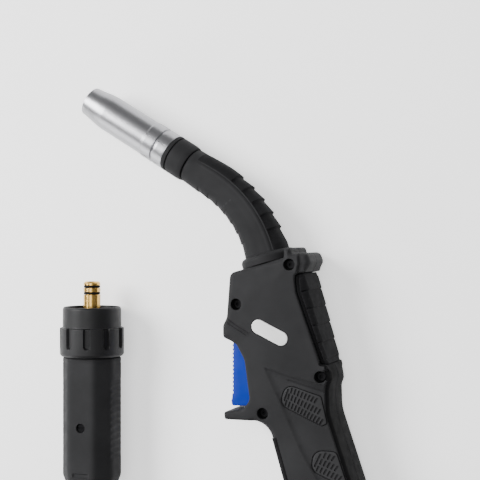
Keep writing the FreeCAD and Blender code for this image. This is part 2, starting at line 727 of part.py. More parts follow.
restrictor_end = 268.0
restrictor = turned("restrictor", [
    ("cable_radius + 0.03", 0),
    ("cable_radius + 3.5", 0),
    ("cable_radius + 3.5", "restrictor_neck"),
    ("cable_radius + 5.6", "restrictor_neck"),
    ("cable_radius + 5.2", "restrictor_neck + 12.5"),
    ("cable_radius + 2.4", "restrictor_length - 1"),
    ("cable_radius + 1.8", "restrictor_length"),
    ("cable_radius + 0.03", "restrictor_length"),
])
keep(restrictor, "bend_restrictor",
     turned_to(down, in_handle(restrictor_end - size("restrictor_length"))))
end_ring = ring("end_ring", "cable_radius + 3.55", "end_ring_radius", 0, "end_ring_length")
keep(end_ring, "cable_collar", turned_to(down, in_handle(restrictor_end - 69.7)))
inner_cable = doc.addObject("Part::Cylinder", "inner_cable")
inner_cable.setExpression("Radius", bound("cable_radius"))
inner_cable.Height = restrictor_end - cable_start - 0.1
keep(inner_cable, "inner_cable", turned_to(down, in_handle(cable_start + 0.1)))

# --------------------------------------------------------------------- the free cable


def on_floor(x, y, z):
    return V(x + shift.x, y + shift.y, z)


# The route out of the handle, and the route from the coil to the connector, each a
# list of (x, y, height above the floor), x and y from the drawing datum.
exit_point = in_handle(restrictor_end)
LEAD = [(96.3, -288.8, 18.5), (100.6, -312.0, 15.4), (101.4, -336.0, 10.2), (98.6, -360.0, 7.0)]
LEAD_END = (92.0, -383.0, 6.5)
TAIL_START = (-60.5, -399.0, 19.5)
TAIL = [(-68.2, -375.0, 18.4), (-77.4, -350.0, 15.2), (-85.4, -325.0, 11.8),
        (-91.8, -300.0, 11.0), (-96.2, -275.0, 14.8), (-98.4, -251.0, 20.0)]


def cable_tube(points, radius):
    """A tube along straight runs joined by tangent arcs, and its length and arc radii."""
    edges, radii = [], []
    last = points[0]
    for before, corner, after in zip(points, points[1:], points[2:]):
        back, on = before - corner, after - corner
        turn = math.pi - back.getAngle(on)
        cut = 0.45 * min(back.Length, on.Length)
        arc_radius = cut / math.tan(turn / 2)
        middle = (back.normalize() + on.normalize()).normalize()
        first, second = corner + back * cut, corner + on * cut
        crown = corner + middle * (arc_radius / math.cos(turn / 2) - arc_radius)
        edges.append(Part.LineSegment(last, first).toShape())
        edges.append(Part.Arc(first, crown, second).toShape())
        radii.append(round(arc_radius))
        last = second
    edges.append(Part.LineSegment(last, points[-1]).toShape())
    path = Part.Wire(edges)
    section = Part.Wire(Part.makeCircle(radius, points[0], points[1] - points[0]))
    tube = path.makePipeShell([section], True, False)
    expected = math.pi * radius ** 2 * path.Length
    print("cable run %.0f mm, arc radii %s, volume ratio %.4f"
          % (path.Length, radii, tube.Volume / expected))
    return tube


cable = size("cable_radius")
free_shape("cable_lead", cable_tube(
    [exit_point] + [on_floor(*spot) for spot in LEAD + [LEAD_END]], cable))
coil = turned("coil", [
    ("coil_mean - coil_pitch - cable_radius", 3),
    ("coil_mean - coil_pitch - cable_radius + 3", 0),
    ("coil_mean + coil_pitch + cable_radius - 3", 0),
    ("coil_mean + coil_pitch + cable_radius", 3),
    ("coil_mean + coil_pitch + cable_radius", "cable_radius * 4 - 3"),
    ("coil_mean + coil_pitch + cable_radius - 3", "cable_radius * 4"),
    ("coil_mean - coil_pitch - cable_radius + 3", "cable_radius * 4"),
    ("coil_mean - coil_pitch - cable_radius", "cable_radius * 4 - 3"),
])
keep(coil, "cable_coil", FreeCAD.Placement(on_floor(size("coil_x"), size("coil_y"), 0),
                                           FreeCAD.Rotation()))
plug_base = on_floor(size("plug_x"), size("plug_y"), size("plug_z"))
free_shape("cable_tail", cable_tube(
    [on_floor(*spot) for spot in [TAIL_START] + TAIL] + [plug_base], cable))

# ------------------------------------------------------------- the central connector
forward = V(0, 1, 0)


def on_plug(height):
    return turned_to(forward, plug_base + forward * height)


sleeve_end = size("sleeve_length")
housing_end = sleeve_end + size("housing_length")
nut_end = housing_end + size("nut_length")
flange_ahead, flange_thick = 9.5, 7.0
flange_rear, flange_front = housing_end + flange_ahead, housing_end + flange_ahead + flange_thick
pin_offset = 10.0

plug_cable = doc.addObject("Part::Cylinder", "plug_cable")
plug_cable.setExpression("Radius", bound("cable_radius"))
plug_cable.Height = sleeve_end + 19
keep(plug_cable, "plug_cable_end", on_plug(0))
sleeve = turned("sleeve", [
    ("cable_radius + 0.05", 0),
    ("sleeve_radius - 1.2", 0),
    ("sleeve_radius", 1.5),
    ("sleeve_radius", "sleeve_length"),
    ("sleeve_radius - 1.5", "sleeve_length"),
    ("sleeve_radius - 1.5", "sleeve_length + 6"),
    ("cable_radius + 0.05", "sleeve_length + 6"),
])
keep(sleeve, "connector_sleeve", on_plug(0))
plug_crimp = turned("plug_crimp_blank", [
    ("cable_radius + 0.05", 0),
    (9.5, 0),
    (9.5, 20),
    (3.0, 20),
    (3.0, 7),
    ("cable_radius + 0.05", 7),
])
keep(plug_crimp, "plug_crimp", on_plug(sleeve_end + 12.2))

housing_body = turned("housing", [
    ("sleeve_radius - 1.45", 0),
    ("housing_radius - 4.4", 0),
    ("housing_radius - 3.8", 1),
    ("housing_radius", 10),
    ("housing_radius", "housing_length - 1"),
    ("housing_radius - 1", "housing_length"),
    ("housing_bore", "housing_length"),
    ("housing_bore", 10),
    ("sleeve_radius - 1.45", 10),
])
# The screw that fixes the housing to the plug is sunk well into the housing's side.
screw_height, screw_seat, screw_face = 41.0, 13.2, 14.6


def from_plug_axis(low, high, height, radius):
    """A bar out of the connector's left side, between two distances from its axis."""
    return bar(V(0, -low, height), V(0, -high, height), radius)


housing = doc.addObject("Part::Feature", "connector_housing")
housing.Shape = housing_body.Shape.cut(from_plug_axis(0, 25, screw_height, 1.7)).cut(
    from_plug_axis(screw_seat, 25, screw_height, 3.0))
keep(housing, "connector_housing", on_plug(sleeve_end))
housing_screw = from_plug_axis(8, screw_seat, screw_height, 1.5)
housing_screw = housing_screw.fuse(from_plug_axis(screw_seat, screw_face, screw_height, 2.7))
housing_screw = housing_screw.cut(
    Part.makeBox(6, 1, 0.7, V(-3, -screw_face - 0.2, screw_height - 0.35)))
screw = doc.addObject("Part::Feature", "housing_screw")
screw.Shape = housing_screw
keep(screw, "housing_screw", on_plug(sleeve_end))

plug_rear = sleeve_end + 33
local_flange = flange_rear - plug_rear
pin_seat = housing_end + 4 - plug_rear
plug_blank = turned("plug_blank", [
    ("plug_bore", 0),
    ("plug_radius", 0),
    ("plug_radius", local_flange),
    ("plug_flange_radius", local_flange),
    ("plug_flange_radius", local_flange + flange_thick),
    ("gas_pin_radius + 0.92", local_flange + flange_thick),
    ("gas_pin_radius + 0.92", pin_seat),
    ("plug_bore", pin_seat),
])
plug_shape = plug_blank.Shape
for side in (1, -1):
    middle = V(side * pin_offset, 0, 0)
    plug_shape = plug_shape.cut(bar(middle + up * local_flange, middle + up * (local_flange + 8), 3.25))
    plug_shape = plug_shape.cut(bar(middle + up * (local_flange - 3), middle + up * local_flange, 1.9))
local_screw = screw_height - (plug_rear - sleeve_end)
plug_shape = plug_shape.cut(from_plug_axis(7.5, 14, local_screw, 1.52))
plug = doc.addObject("Part::Feature", "plug_body")
plug.Shape = plug_shape
keep(plug, "plug_body", on_plug(plug_rear))

face_thick = 3.5
insulator_shape = Part.makeCylinder(size("plug_flange_radius"), face_thick).cut(
    Part.makeCylinder(size("gas_pin_radius") + 1.0, face_thick))
for side in (1, -1):
    middle = V(side * pin_offset, 0, 0)
    insulator_shape = insulator_shape.fuse(bar(middle - up * 6.8, middle, 3.2))
    insulator_shape = insulator_shape.cut(bar(middle - up * 8, middle + up * 5, 1.65))
insulator = doc.addObject("Part::Feature", "plug_insulator")
insulator.Shape = insulator_shape
keep(insulator, "plug_insulator", on_plug(flange_front))
for name, side in (("a", 1), ("b", -1)):
    contact = turned("contact_blank_" + name, [
        (0, 0), (1.6, 0), (1.6, 14.6), (1.0, 15.4), (0, 15.6)])
    spot = on_plug(flange_rear + 1.0)
    spot.Base = spot.Base + V(side * pin_offset, 0, 0)
    keep(contact, "contact_pin_" + name, spot)

washer = ring("washer", 12.1, 15.4, 0, 1.2)
keep(washer, "thrust_washer", on_plug(housing_end + 8.2))

pin_start = housing_end + 4.1
pin_length = nut_end + size("gas_pin_proud") - pin_start
groove_places = (pin_length - 7.4, pin_length - 3.2)
root_radius, root_length = size("gas_pin_radius") + 0.9, 16.9
profile = [(2.3, 0), (root_radius, 0), (root_radius, root_length),
           ("gas_pin_radius", root_length)]
for middle in groove_places:
    profile += [("gas_pin_radius", middle - 0.95), (3.6, middle - 0.95),
                (3.6, middle + 0.95), ("gas_pin_radius", middle + 0.95)]
profile += [("gas_pin_radius", pin_length - 1), ("gas_pin_radius - 1", pin_length), (2.3, pin_length)]
gas_pin = turned("gas_pin_blank", profile)
keep(gas_pin, "gas_pin", on_plug(pin_start))
rings = []
for middle in groove_places:
    rings.append(Part.makeTorus(4.45, 0.78, V(0, 0, middle)))
seals = doc.addObject("Part::Feature", "o_rings")
seals.Shape = Part.makeCompound(rings)
keep(seals, "o_rings", on_plug(pin_start))

nut = turned("nut", [
    (12.4, 1.2),
    ("nut_bore", 1.2),
    ("nut_bore", 0),
    ("nut_radius - 0.8", 0),
    ("nut_radius", 0.8),
    ("nut_radius", "nut_length * 0.57 - 0.8"),
    ("nut_radius - 0.8", "nut_length * 0.57"),
    ("nut_front_radius", "nut_length * 0.57"),
    ("nut_front_radius", "nut_length - 1.4"),
    ("nut_front_radius - 0.8", "nut_length - 0.4"),
    ("nut_bore", "nut_length - 0.4"),
    ("nut_bore", 7.4),
    (12.4, 7.4),
])
flute_depth, flute_half, flute_length = 1.6, 2.2, 13.0
flute_root = size("nut_radius") - flute_depth
step_height = size("nut_length * 0.57")
nut_shape = nut.Shape
for index in range(int(size("nut_flutes"))):
    foot = step_height - flute_length + flute_half
    flute = Part.makeBox(6, 2 * flute_half, flute_length, V(flute_root, -flute_half, foot))
    flute = flute.fuse(bar(V(flute_root, 0, foot), V(flute_root + 6, 0, foot), flute_half))
    flute.rotate(V(0, 0, 0), V(0, 0, 1), 90 + 360.0 * index / size("nut_flutes"))
    nut_shape = nut_shape.cut(flute)
fluted_nut = doc.addObject("Part::Feature", "connector_nut")
fluted_nut.Shape = nut_shape
keep(fluted_nut, "connector_nut", on_plug(housing_end + 0.4))

# ------------------------------------------------------------------ checks and export
doc.recompute()
for item in doc.Objects:
    if "Invalid" in item.State or "Error" in item.State:
        raise RuntimeError("%s did not rebuild" % item.Label)
for item in sub_parts:
    if item.Shape.isNull() or not item.Shape.isValid() or not item.Shape.Solids:
        raise RuntimeError("%s has no valid solid" % item.Label)
CORD_PARTS = ("cable_lead", "cable_coil", "cable_tail", "connector_", "plug_", "gas_pin",
              "contact_pin", "o_rings", "thrust_washer", "housing_screw")
box = FreeCAD.BoundBox()
for item in sub_parts:
    if not item.Label.startswith(CORD_PARTS):
        box.add(item.Shape.BoundBox)
print("torch box", box, "exit", exit_point - shift)
for item in sub_parts:
    item.Shape.exportStep("parts/%s.step" % item.Label)
print(len(sub_parts), "sub-parts")
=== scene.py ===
import json
import math

import bmesh
import bpy
import numpy as np
from mathutils import Matrix, Vector, kdtree
from mathutils.geometry import delaunay_2d_cdt


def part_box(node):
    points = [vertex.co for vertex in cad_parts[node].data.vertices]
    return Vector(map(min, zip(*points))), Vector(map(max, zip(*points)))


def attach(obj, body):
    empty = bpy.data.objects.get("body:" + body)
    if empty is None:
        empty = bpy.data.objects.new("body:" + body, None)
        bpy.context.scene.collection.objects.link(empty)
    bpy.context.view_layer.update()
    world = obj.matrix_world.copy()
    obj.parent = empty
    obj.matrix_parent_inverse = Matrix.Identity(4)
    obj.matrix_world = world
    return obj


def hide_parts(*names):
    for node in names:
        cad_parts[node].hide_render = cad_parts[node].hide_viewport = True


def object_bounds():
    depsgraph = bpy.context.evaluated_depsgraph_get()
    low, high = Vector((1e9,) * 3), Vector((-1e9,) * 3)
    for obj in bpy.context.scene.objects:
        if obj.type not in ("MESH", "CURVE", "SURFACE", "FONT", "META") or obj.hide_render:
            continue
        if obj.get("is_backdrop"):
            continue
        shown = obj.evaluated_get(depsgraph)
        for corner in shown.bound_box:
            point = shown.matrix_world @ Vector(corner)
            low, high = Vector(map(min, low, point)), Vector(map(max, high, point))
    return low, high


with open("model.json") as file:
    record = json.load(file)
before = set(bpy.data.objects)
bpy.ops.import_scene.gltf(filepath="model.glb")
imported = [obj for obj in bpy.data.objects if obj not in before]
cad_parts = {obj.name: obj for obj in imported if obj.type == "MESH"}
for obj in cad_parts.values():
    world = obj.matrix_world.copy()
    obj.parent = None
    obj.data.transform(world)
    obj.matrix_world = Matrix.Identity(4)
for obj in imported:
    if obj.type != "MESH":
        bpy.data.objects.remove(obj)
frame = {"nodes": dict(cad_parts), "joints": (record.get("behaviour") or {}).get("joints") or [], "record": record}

# A MIG welding torch lying on its right side. Lengths are in millimetres and are turned
# into metres where a mesh, a curve or a place is made. Torch pieces are drawn about the
# datum that the CAD is drawn about, in the plane where the handle's two shells meet.

MM = 0.001
cad_low, cad_high = (list(corner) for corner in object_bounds())
joints = {joint["name"]: joint for joint in frame["joints"]}
UP = Vector((0, 0, 1))
TRIGGER_PIN = (8.0, -62.5)
pin_place = Vector(joints["trigger_pull"]["pos_m"])
DATUM = pin_place - Vector((*TRIGGER_PIN, 0)) * MM
HALF = (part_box("handle_shell_left")[1].z - DATUM.z) / MM


# ---- the torch's own axes
ahead = Vector(joints["nozzle_pull"]["axis"])
COLLAR_REAR = (-31.9, 45.9)
NECK_STRAIGHT, NECK_BEND, NECK_TURN = 18.9, 75.5, math.radians(42.8)
neck_length = NECK_STRAIGHT + NECK_BEND * NECK_TURN
collar_rear = DATUM + Vector((*COLLAR_REAR, 0)) * MM
bend_start = collar_rear - ahead * NECK_STRAIGHT * MM
bend_centre = bend_start + Vector((-ahead.y, ahead.x, 0)) * NECK_BEND * MM
CABLE_RADIUS = 6.5
RESTRICTOR_END = 268.0


def neck_station(distance):
    """A point on the neck's axis behind the collar, and the direction to the handle there."""
    if distance <= NECK_STRAIGHT:
        return collar_rear - ahead * distance * MM, -ahead
    turn = Matrix.Rotation(-(distance - NECK_STRAIGHT) / NECK_BEND, 3, "Z")
    return bend_centre + turn @ (bend_start - bend_centre), turn @ -ahead


neck_end, down = neck_station(neck_length)
cable_exit = neck_end + down * RESTRICTOR_END * MM

# ---- the cable's route
# The same points as the CAD's: (x, y) from the datum and the height above the floor.
LEAD = [(96.3, -288.8, 18.5), (100.6, -312.0, 15.4), (101.4, -336.0, 10.2), (98.6, -360.0, 7.0)]
LEAD_END = (92.0, -383.0, 6.5)
TAIL_START = (-60.5, -399.0, 19.5)
TAIL = [(-68.2, -375.0, 18.4), (-77.4, -350.0, 15.2), (-85.4, -325.0, 11.8),
        (-91.8, -300.0, 11.0), (-96.2, -275.0, 14.8), (-98.4, -251.0, 20.0)]
COIL_CENTRE = (14.0, -370.0)
COIL_RADIUS, RADIUS_STEP = 80.5, 13.5
FIRST_LAYER, LAYER_STEP = 6.5, 13.0
COIL_TURNS, POINTS_PER_TURN = 5.414, 18
plug_base = Vector(joints["nut_turn"]["pos_m"])
plug_base.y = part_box("connector_sleeve")[0].y
cable_end = plug_base.copy()
cable_end.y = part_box("plug_cable_end")[1].y


def on_floor(x, y, z):
    return Vector((DATUM.x + x * MM, DATUM.y + y * MM, cad_low[2] + z * MM))


def placed(name, data):
    """A new object in the scene."""
    thing = bpy.data.objects.new(name, data)
    bpy.context.scene.collection.objects.link(thing)
    return thing


def eased(share):
    """0 to 1 with no corner at either end."""
    share = np.clip(share, 0, 1)
    return share * share * (3 - 2 * share)


def coil_points():
    """Turns wound inwards on the floor and then outwards on top, stepping over in one place."""
    start = math.atan2(LEAD_END[1] - COIL_CENTRE[1], LEAD_END[0] - COIL_CENTRE[0])
    step_over, step_long, climb = 0.668, 0.222, 2.45
    points = []
    for index in range(1, int(COIL_TURNS * POINTS_PER_TURN)):
        turn = index / POINTS_PER_TURN
        radius = COIL_RADIUS
        for step, change in enumerate((-1, -1, 0, 1, 1)):
            radius += change * float(eased((turn - step - step_over) / step_long)) * RADIUS_STEP
        height = FIRST_LAYER + LAYER_STEP * float(eased((turn - climb) / step_long))
        angle = start - 2 * math.pi * turn
        points.append((COIL_CENTRE[0] + radius * math.cos(angle),
                       COIL_CENTRE[1] + radius * math.sin(angle), height))
    return points


def make_cable():
    route = [cable_exit]
    route += [on_floor(*spot) for spot in LEAD + [LEAD_END] + coil_points() + [TAIL_START] + TAIL]
    route += [plug_base, cable_end]
    curve = bpy.data.curves.new("cable", "CURVE")
    curve.dimensions = "3D"
    curve.bevel_depth = CABLE_RADIUS * MM
    curve.bevel_resolution = 7
    spline = curve.splines.new("NURBS")
    spline.points.add(len(route) - 1)
    for point, place in zip(spline.points, route):
        point.co = (*place, 1)
    spline.order_u = 3
    spline.use_endpoint_u = True
    spline.resolution_u = 8
    return placed("cable", curve)


# ---- the camera
CAMERA_LENS, CAMERA_DISTANCE, CAMERA_TILT = 85.0, 0.68, math.radians(20)


def make_camera():
    """Looks down on the handle's left side, leaning over from the spine's side."""
    toward = Vector((math.sin(CAMERA_TILT), 0, math.cos(CAMERA_TILT)))
    camera = placed("camera", bpy.data.cameras.new("camera"))
    camera.data.lens = CAMERA_LENS
    camera.location = DATUM + toward * CAMERA_DISTANCE
    right = Vector((0, 1, 0)).cross(toward)
    camera.rotation_euler = Matrix((right, (0, 1, 0), toward)).transposed().to_euler()
    bpy.context.scene.camera = camera


# ---- materials
def linear(red, green, blue):
    """A display colour out of 255 as the linear colour that shaders take."""
    return tuple((value / 255) ** 2.2 for value in (red, green, blue)) + (1.0,)


def feed_socket(socket, value):
    """Gives an input a value, or links another node's output to it."""
    if isinstance(value, bpy.types.NodeSocket):
        socket.id_data.links.new(value, socket)
    else:
        socket.default_value = value


def feed(node, **values):
    """Feeds a node's inputs, whose names are written with _ for a space."""
    for name, value in values.items():
        feed_socket(node.inputs[name.replace("_", " ")], value)
    return node


class Nodes:
    """Short ways to add nodes to one material's tree."""

    def __init__(self, name):
        self.material = bpy.data.materials.new(name)
        self.material.use_nodes = True
        self.tree = self.material.node_tree
        self.shader = self.tree.nodes["Principled BSDF"]
        self.place = self.add("TexCoord").outputs["Object"]

    def add(self, kind, **values):
        return feed(self.tree.nodes.new("ShaderNode" + kind), **values)

    def noise(self, scale, detail=3.0, stretch=None):
        """Noise with about `scale` features to a metre, stretched by (x, y, z) if given."""
        source = self.place
        if stretch:
            source = self.add("Mapping", Scale=stretch, Vector=source).outputs["Vector"]
        return self.add("TexNoise", Scale=scale, Detail=detail, Vector=source).outputs["Fac"]

    def spread(self, source, low, high, start=0.3, end=0.7):
        """A value spread between low and high."""
        return self.add("MapRange", Value=source, From_Min=start, From_Max=end, To_Min=low,
                        To_Max=high).outputs["Result"]

    def mix(self, factor, first, second):
        """A colour between two, which are colours or another node's output."""
        node = self.add("Mix")
        node.data_type = "RGBA"
        for index, value in ((0, factor), (6, first), (7, second)):
            feed_socket(node.inputs[index], value)
        return node.outputs[2]

    def clouds(self, scale, detail, first, second):
        """Soft patches between two colours."""
        return self.mix(self.spread(self.noise(scale, detail), 0.0, 1.0), first, second)

    def bump(self, height, strength, distance):
        """Adds a bump on top of those that the shader has."""
        node = self.add("Bump", Strength=strength, Distance=distance, Height=height)
        last = self.shader.inputs["Normal"]
        if last.is_linked:
            feed_socket(node.inputs["Normal"], last.links[0].from_socket)
        feed_socket(last, node.outputs["Normal"])


def shade(colour, share):
    return tuple(value * share for value in colour[:3]) + (1.0,)


def moulded(name, colour, roughness, grain, depth, wear=0.35, shine=0.2):
    """Moulded plastic or rubber: a fine spark grain, faint mottling and rubbed edges."""
    nodes = Nodes(name)
    mottled = nodes.clouds(45.0, 4.0, shade(colour, 0.86), shade(colour, 1.14))
    raised = nodes.add("NewGeometry").outputs["Pointiness"]
    rubbed = nodes.mix(nodes.spread(raised, 0.0, wear, 0.53, 0.62), mottled, shade(colour, 2.1))
    patchy = nodes.spread(nodes.noise(160.0), roughness - 0.07, roughness + 0.07)
    feed(nodes.shader, Base_Color=rubbed, Roughness=patchy, Specular_IOR_Level=shine)
    nodes.bump(nodes.noise(grain, 2.0), 0.35, depth)
    nodes.bump(nodes.noise(grain / 9, 2.0), 0.15, depth * 2)
    return nodes.material


def metal(name, colour, roughness, lines, tarnish, depth=0.000004):
    """Bare or plated metal, with fine lines across the given stretch and faint tarnish."""
    nodes = Nodes(name)
    clouded = nodes.clouds(60.0, 4.0, shade(colour, 1.0 - tarnish), colour)
    fine = nodes.noise(1.0, 2.0, lines)
    feed(nodes.shader, Metallic=1.0, Base_Color=clouded,
         Roughness=nodes.spread(fine, roughness - 0.01, roughness + 0.02))
    nodes.bump(fine, 0.03, depth)
    return nodes.material


TURNED, EVEN = (30, 30, 1100), (900, 900, 900)
# Slot, name, colour, roughness, stretch of the fine lines, tarnish and depth.
METALS = (
    ("nozzle_chrome", "satin_chrome", (152, 152, 155), 0.33, TURNED, 0.03, 0.0),
    ("copper", "copper", (201, 122, 92), 0.3, TURNED, 0.3),
    ("brass", "brass", (214, 172, 96), 0.24, TURNED, 0.2),
    ("steel", "zinc_steel", (168, 168, 170), 0.32, EVEN, 0.2),
    ("black_steel", "black_steel", (34, 34, 35), 0.45, EVEN, 0.3),
)
# Slot, colour, roughness, grains to a metre, their depth, wear at the edges and shine.
MOULDINGS = (
    ("black_plastic", (42, 42, 43), 0.58, 2400.0, 0.00005, 0.35, 0.06),
    ("handle_plastic", (45, 45, 46), 0.58, 2600.0, 0.00006, 0.35, 0.06),
    ("grip_rubber", (21, 21, 22), 0.75, 1700.0, 0.00008, 0.2, 0.08),
    ("pad_face", (50, 50, 51), 0.6, 1700.0, 0.00006, 0.2, 0.08),
    # Near black for the pads' deep slots: a painted shade in the recesses.
    ("pad_slot", (2, 2, 2), 0.8, 1700.0, 0.00006, 0.0, 0.02),
    ("soft_rubber", (34, 34, 35), 0.68, 1700.0, 0.00007, 0.3, 0.03),
    ("badge_white", (228, 228, 227), 0.34, 900.0, 0.00001, 0.0),
    ("trigger_blue", (4, 40, 136), 0.4, 2200.0, 0.00003, 0.12),
    ("switch_plastic", (60, 60, 62), 0.42, 1800.0, 0.00003),
    ("wire_sheath", (168, 30, 26), 0.45, 1500.0, 0.00003),
    ("cable_rubber", (22, 22, 23), 0.6, 1300.0, 0.00006, 0.0, 0.12),
    ("nut_plastic", (36, 36, 37), 0.46, 2200.0, 0.00005),
)
MATERIALS = {slot: metal(name, linear(*colour), *rest) for slot, name, colour, *rest in METALS}
MATERIALS.update({slot: moulded(slot, linear(*colour), *rest) for slot, colour, *rest in MOULDINGS})


def dress_frame():
    """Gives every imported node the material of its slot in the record."""
    for row in frame["record"]["subparts"]:
        mesh = frame["nodes"][row["node"]].data
        mesh.materials.clear()
        mesh.materials.append(MATERIALS[row["material_slot"]])


# ---- making a mesh
CREASE, CHUNK = 38.0, 2000


def add_piece(name, vertices, faces, slots, replaced, body="torch", place=None, crease=CREASE):
    """A piece from vertices in millimetres, in its own frame, riding on a CAD body."""
    mesh = bpy.data.meshes.new(name)
    mesh.from_pydata((np.asarray(vertices) * MM).tolist(), [], faces)
    edit = bmesh.new()
    edit.from_mesh(mesh)
    bmesh.ops.remove_doubles(edit, verts=edit.verts, dist=1e-7)
    bmesh.ops.recalc_face_normals(edit, faces=edit.faces)
    edit.to_mesh(mesh)
    edit.free()
    piece = placed(name, mesh)
    piece.matrix_world = place or Matrix.Translation(DATUM)
    for slot in slots:
        mesh.materials.append(MATERIALS[slot])
    smooth_shaded(mesh, crease)
    if body:
        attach(piece, body)
    if replaced:
        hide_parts(*replaced)
    return piece


def middles_of(faces):
    """The middle of each face from the datum, as seen from the side."""
    return np.array([tuple(face.center) for face in faces])[:, :2] / MM


def colour_faces(faces, choices):
    """Gives each face the material of its number."""
    for face, choice in zip(faces, choices):
        face.material_index = int(choice)


def smooth_shaded(mesh, crease):
    mesh.shade_smooth()
    mesh.set_sharp_from_angle(angle=math.radians(crease))


def rounded(corners, step=14.0):
    """Points round a closed outline of (x, y, corner radius), each corner turned as an arc."""
    points = []
    corners = np.array(corners, float)
    for corner, before, after in zip(corners, np.roll(corners, 1, 0), np.roll(corners, -1, 0)):
        here, radius = corner[:2], corner[2]
        back, on = unit(before[:2] - here), unit(after[:2] - here)
        half = math.acos(np.clip(back @ on, -1, 1)) / 2
        centre = here + unit(back + on) * radius / math.sin(half)
        arm = here + back * radius / math.tan(half) - centre
        last = here + on * radius / math.tan(half) - centre
        turn = math.atan2(arm[0] * last[1] - arm[1] * last[0], arm @ last)
        steps = max(2, math.ceil(abs(math.degrees(turn)) / step))
        points.append(arc(centre, radius, math.atan2(arm[1], arm[0]) + np.linspace(0, turn, steps + 1)))
    return np.vstack(points)


def unit(vector):
    return vector / np.linalg.norm(vector)


def leftward(run):
    """The direction to the left of each of a line's runs."""
    run = run / (np.linalg.norm(run, axis=1)[:, None] + 1e-12)
    return np.column_stack((-run[:, 1], run[:, 0]))


def arc(centre, radius, turns):
    """Points on a circle at the given angles."""
    return np.array(centre) + radius * np.column_stack((np.cos(turns), np.sin(turns)))


def spaced(points, spacing, closed=True):
    """The same line with points added so that no run is longer than the spacing."""
    ends = np.roll(points, -1, 0) if closed else points[1:]
    made = []
    for start, end in zip(points, ends):
        parts = max(1, math.ceil(np.linalg.norm(end - start) / spacing))
        for part in range(parts):
            made.append(start + (end - start) * part / parts)
    if not closed:
        made.append(points[-1])
    return np.array(made)


def measure(points, line, closed=True):
    """Each point's distance from a line of points, and which of its runs is nearest."""
    starts = line if closed else line[:-1]
    runs = (np.roll(line, -1, 0) if closed else line[1:]) - starts
    lengths = (runs ** 2).sum(1) + 1e-12
    gaps, nearest = np.empty(len(points)), np.empty(len(points), int)
    for first in range(0, len(points), CHUNK):
        part = points[first:first + CHUNK, None]
        share = np.clip(((part - starts) * runs).sum(2) / lengths, 0, 1)
        gap = np.linalg.norm(part - starts - share[..., None] * runs, axis=2)
        nearest[first:first + CHUNK] = gap.argmin(1)
        gaps[first:first + CHUNK] = gap.min(1)
    return gaps, nearest


def gaps_to(points, line, closed=False):
    """Each point's distance from a line of points."""
    return measure(points, line, closed)[0]


def inside(points, outline):
    """Which points are within a closed outline."""
    x, y = points[:, 0, None], points[:, 1, None]
    ends = np.roll(outline, -1, 0)
    crosses = (outline[:, 1] > y) != (ends[:, 1] > y)
    rise = np.where(ends[:, 1] == outline[:, 1], 1e-12, ends[:, 1] - outline[:, 1])
    where = outline[:, 0] + (y - outline[:, 1]) / rise * (ends[:, 0] - outline[:, 0])
    return (crosses & (x < where)).sum(1) % 2 == 1


def depth_in(points, outline):
    """Distance within a closed outline, negative outside it."""
    gaps = gaps_to(points, outline, True)
    return np.where(inside(points, outline), gaps, -gaps)


def grid(outline, spacing):
    """Points in a triangular pattern within an outline."""
    low, high = outline.min(0), outline.max(0)
    xs = np.arange(low[0], high[0], spacing)
    ys = np.arange(low[1], high[1], spacing * 0.87)
    x, y = np.meshgrid(xs, ys)
    x = x + (np.arange(len(ys)) % 2)[:, None] * spacing / 2
    points = np.column_stack((x.ravel(), y.ravel()))
    return points[inside(points, outline)]


def inward(outline):
    """The inward direction at each point of a closed outline that runs anticlockwise."""
    return leftward(np.roll(outline, -1, 0) - np.roll(outline, 1, 0))


def anticlockwise(outline):
    x, y = outline.T
    turning = (x * np.roll(y, -1) - np.roll(x, -1) * y).sum()
    return outline if turning > 0 else outline[::-1]


RING_SHARES = (0.04, 0.14, 0.3, 0.5, 0.75, 1.0)
RING_ROOM, FILLER_ROOM = 0.93, 0.55
PARTING_CHAMFER = 0.25


def relief(name, outline, rise, reach, slots, replaced, loops=(), dense=(), spacing=1.6,
           edge_spacing=0.9, low=None, side=1, body="torch"):
    """A solid whose face is an outline's area raised to rise(points), rounded at its edge.

    Rings of points follow the edge up to `reach` inside it, the face is creased along the
    closed `loops`, and `dense` are extra points. The underside is flat at `low`, or without it
    the face's mirror image, and `side` is -1 for a face that looks down."""
    outline = spaced(anticlockwise(outline), edge_spacing)
    reach = reach(outline) if callable(reach) else np.full(len(outline), float(reach))
    kept = [outline]
    for share in RING_SHARES:
        ring = outline + inward(outline) * (reach * share)[:, None]
        kept.append(ring[depth_in(ring, outline) > reach * share * RING_ROOM])
    fixed = np.vstack(kept + list(loops) + list(dense))
    tree = kdtree.KDTree(len(fixed))
    for index, point in enumerate(fixed):
        tree.insert((*point, 0), index)
    tree.balance()
    filler = [point for point in grid(outline, spacing)
              if tree.find((*point, 0))[2] > spacing * FILLER_ROOM]
    points = np.vstack([fixed] + filler)
    edges = []
    start = sum(len(part) for part in kept)
    for loop in loops:
        edges += [(start + index, start + (index + 1) % len(loop)) for index in range(len(loop))]
        start += len(loop)
    made = delaunay_2d_cdt([Vector(point) for point in points], edges, [list(range(len(outline)))],
                           1, 1e-5)
    flat = np.array([tuple(vertex) for vertex in made[0]])
    faces = [list(face) for face in made[2]]
    return add_piece(name, *solid_from_face(flat, faces, rise(flat), low, side), slots, replaced, body)


def rim_of(faces):
    """The vertices round the outside of a sheet of faces, in order."""
    following = {}
    pairs = {(face[index - 1], face[index]) for face in faces for index in range(len(face))}
    for first, second in pairs:
        if (second, first) not in pairs:
            following[first] = second
    start = next(iter(following))
    rim = [start]
    while following[rim[-1]] != start:
        rim.append(following[rim[-1]])
    return rim


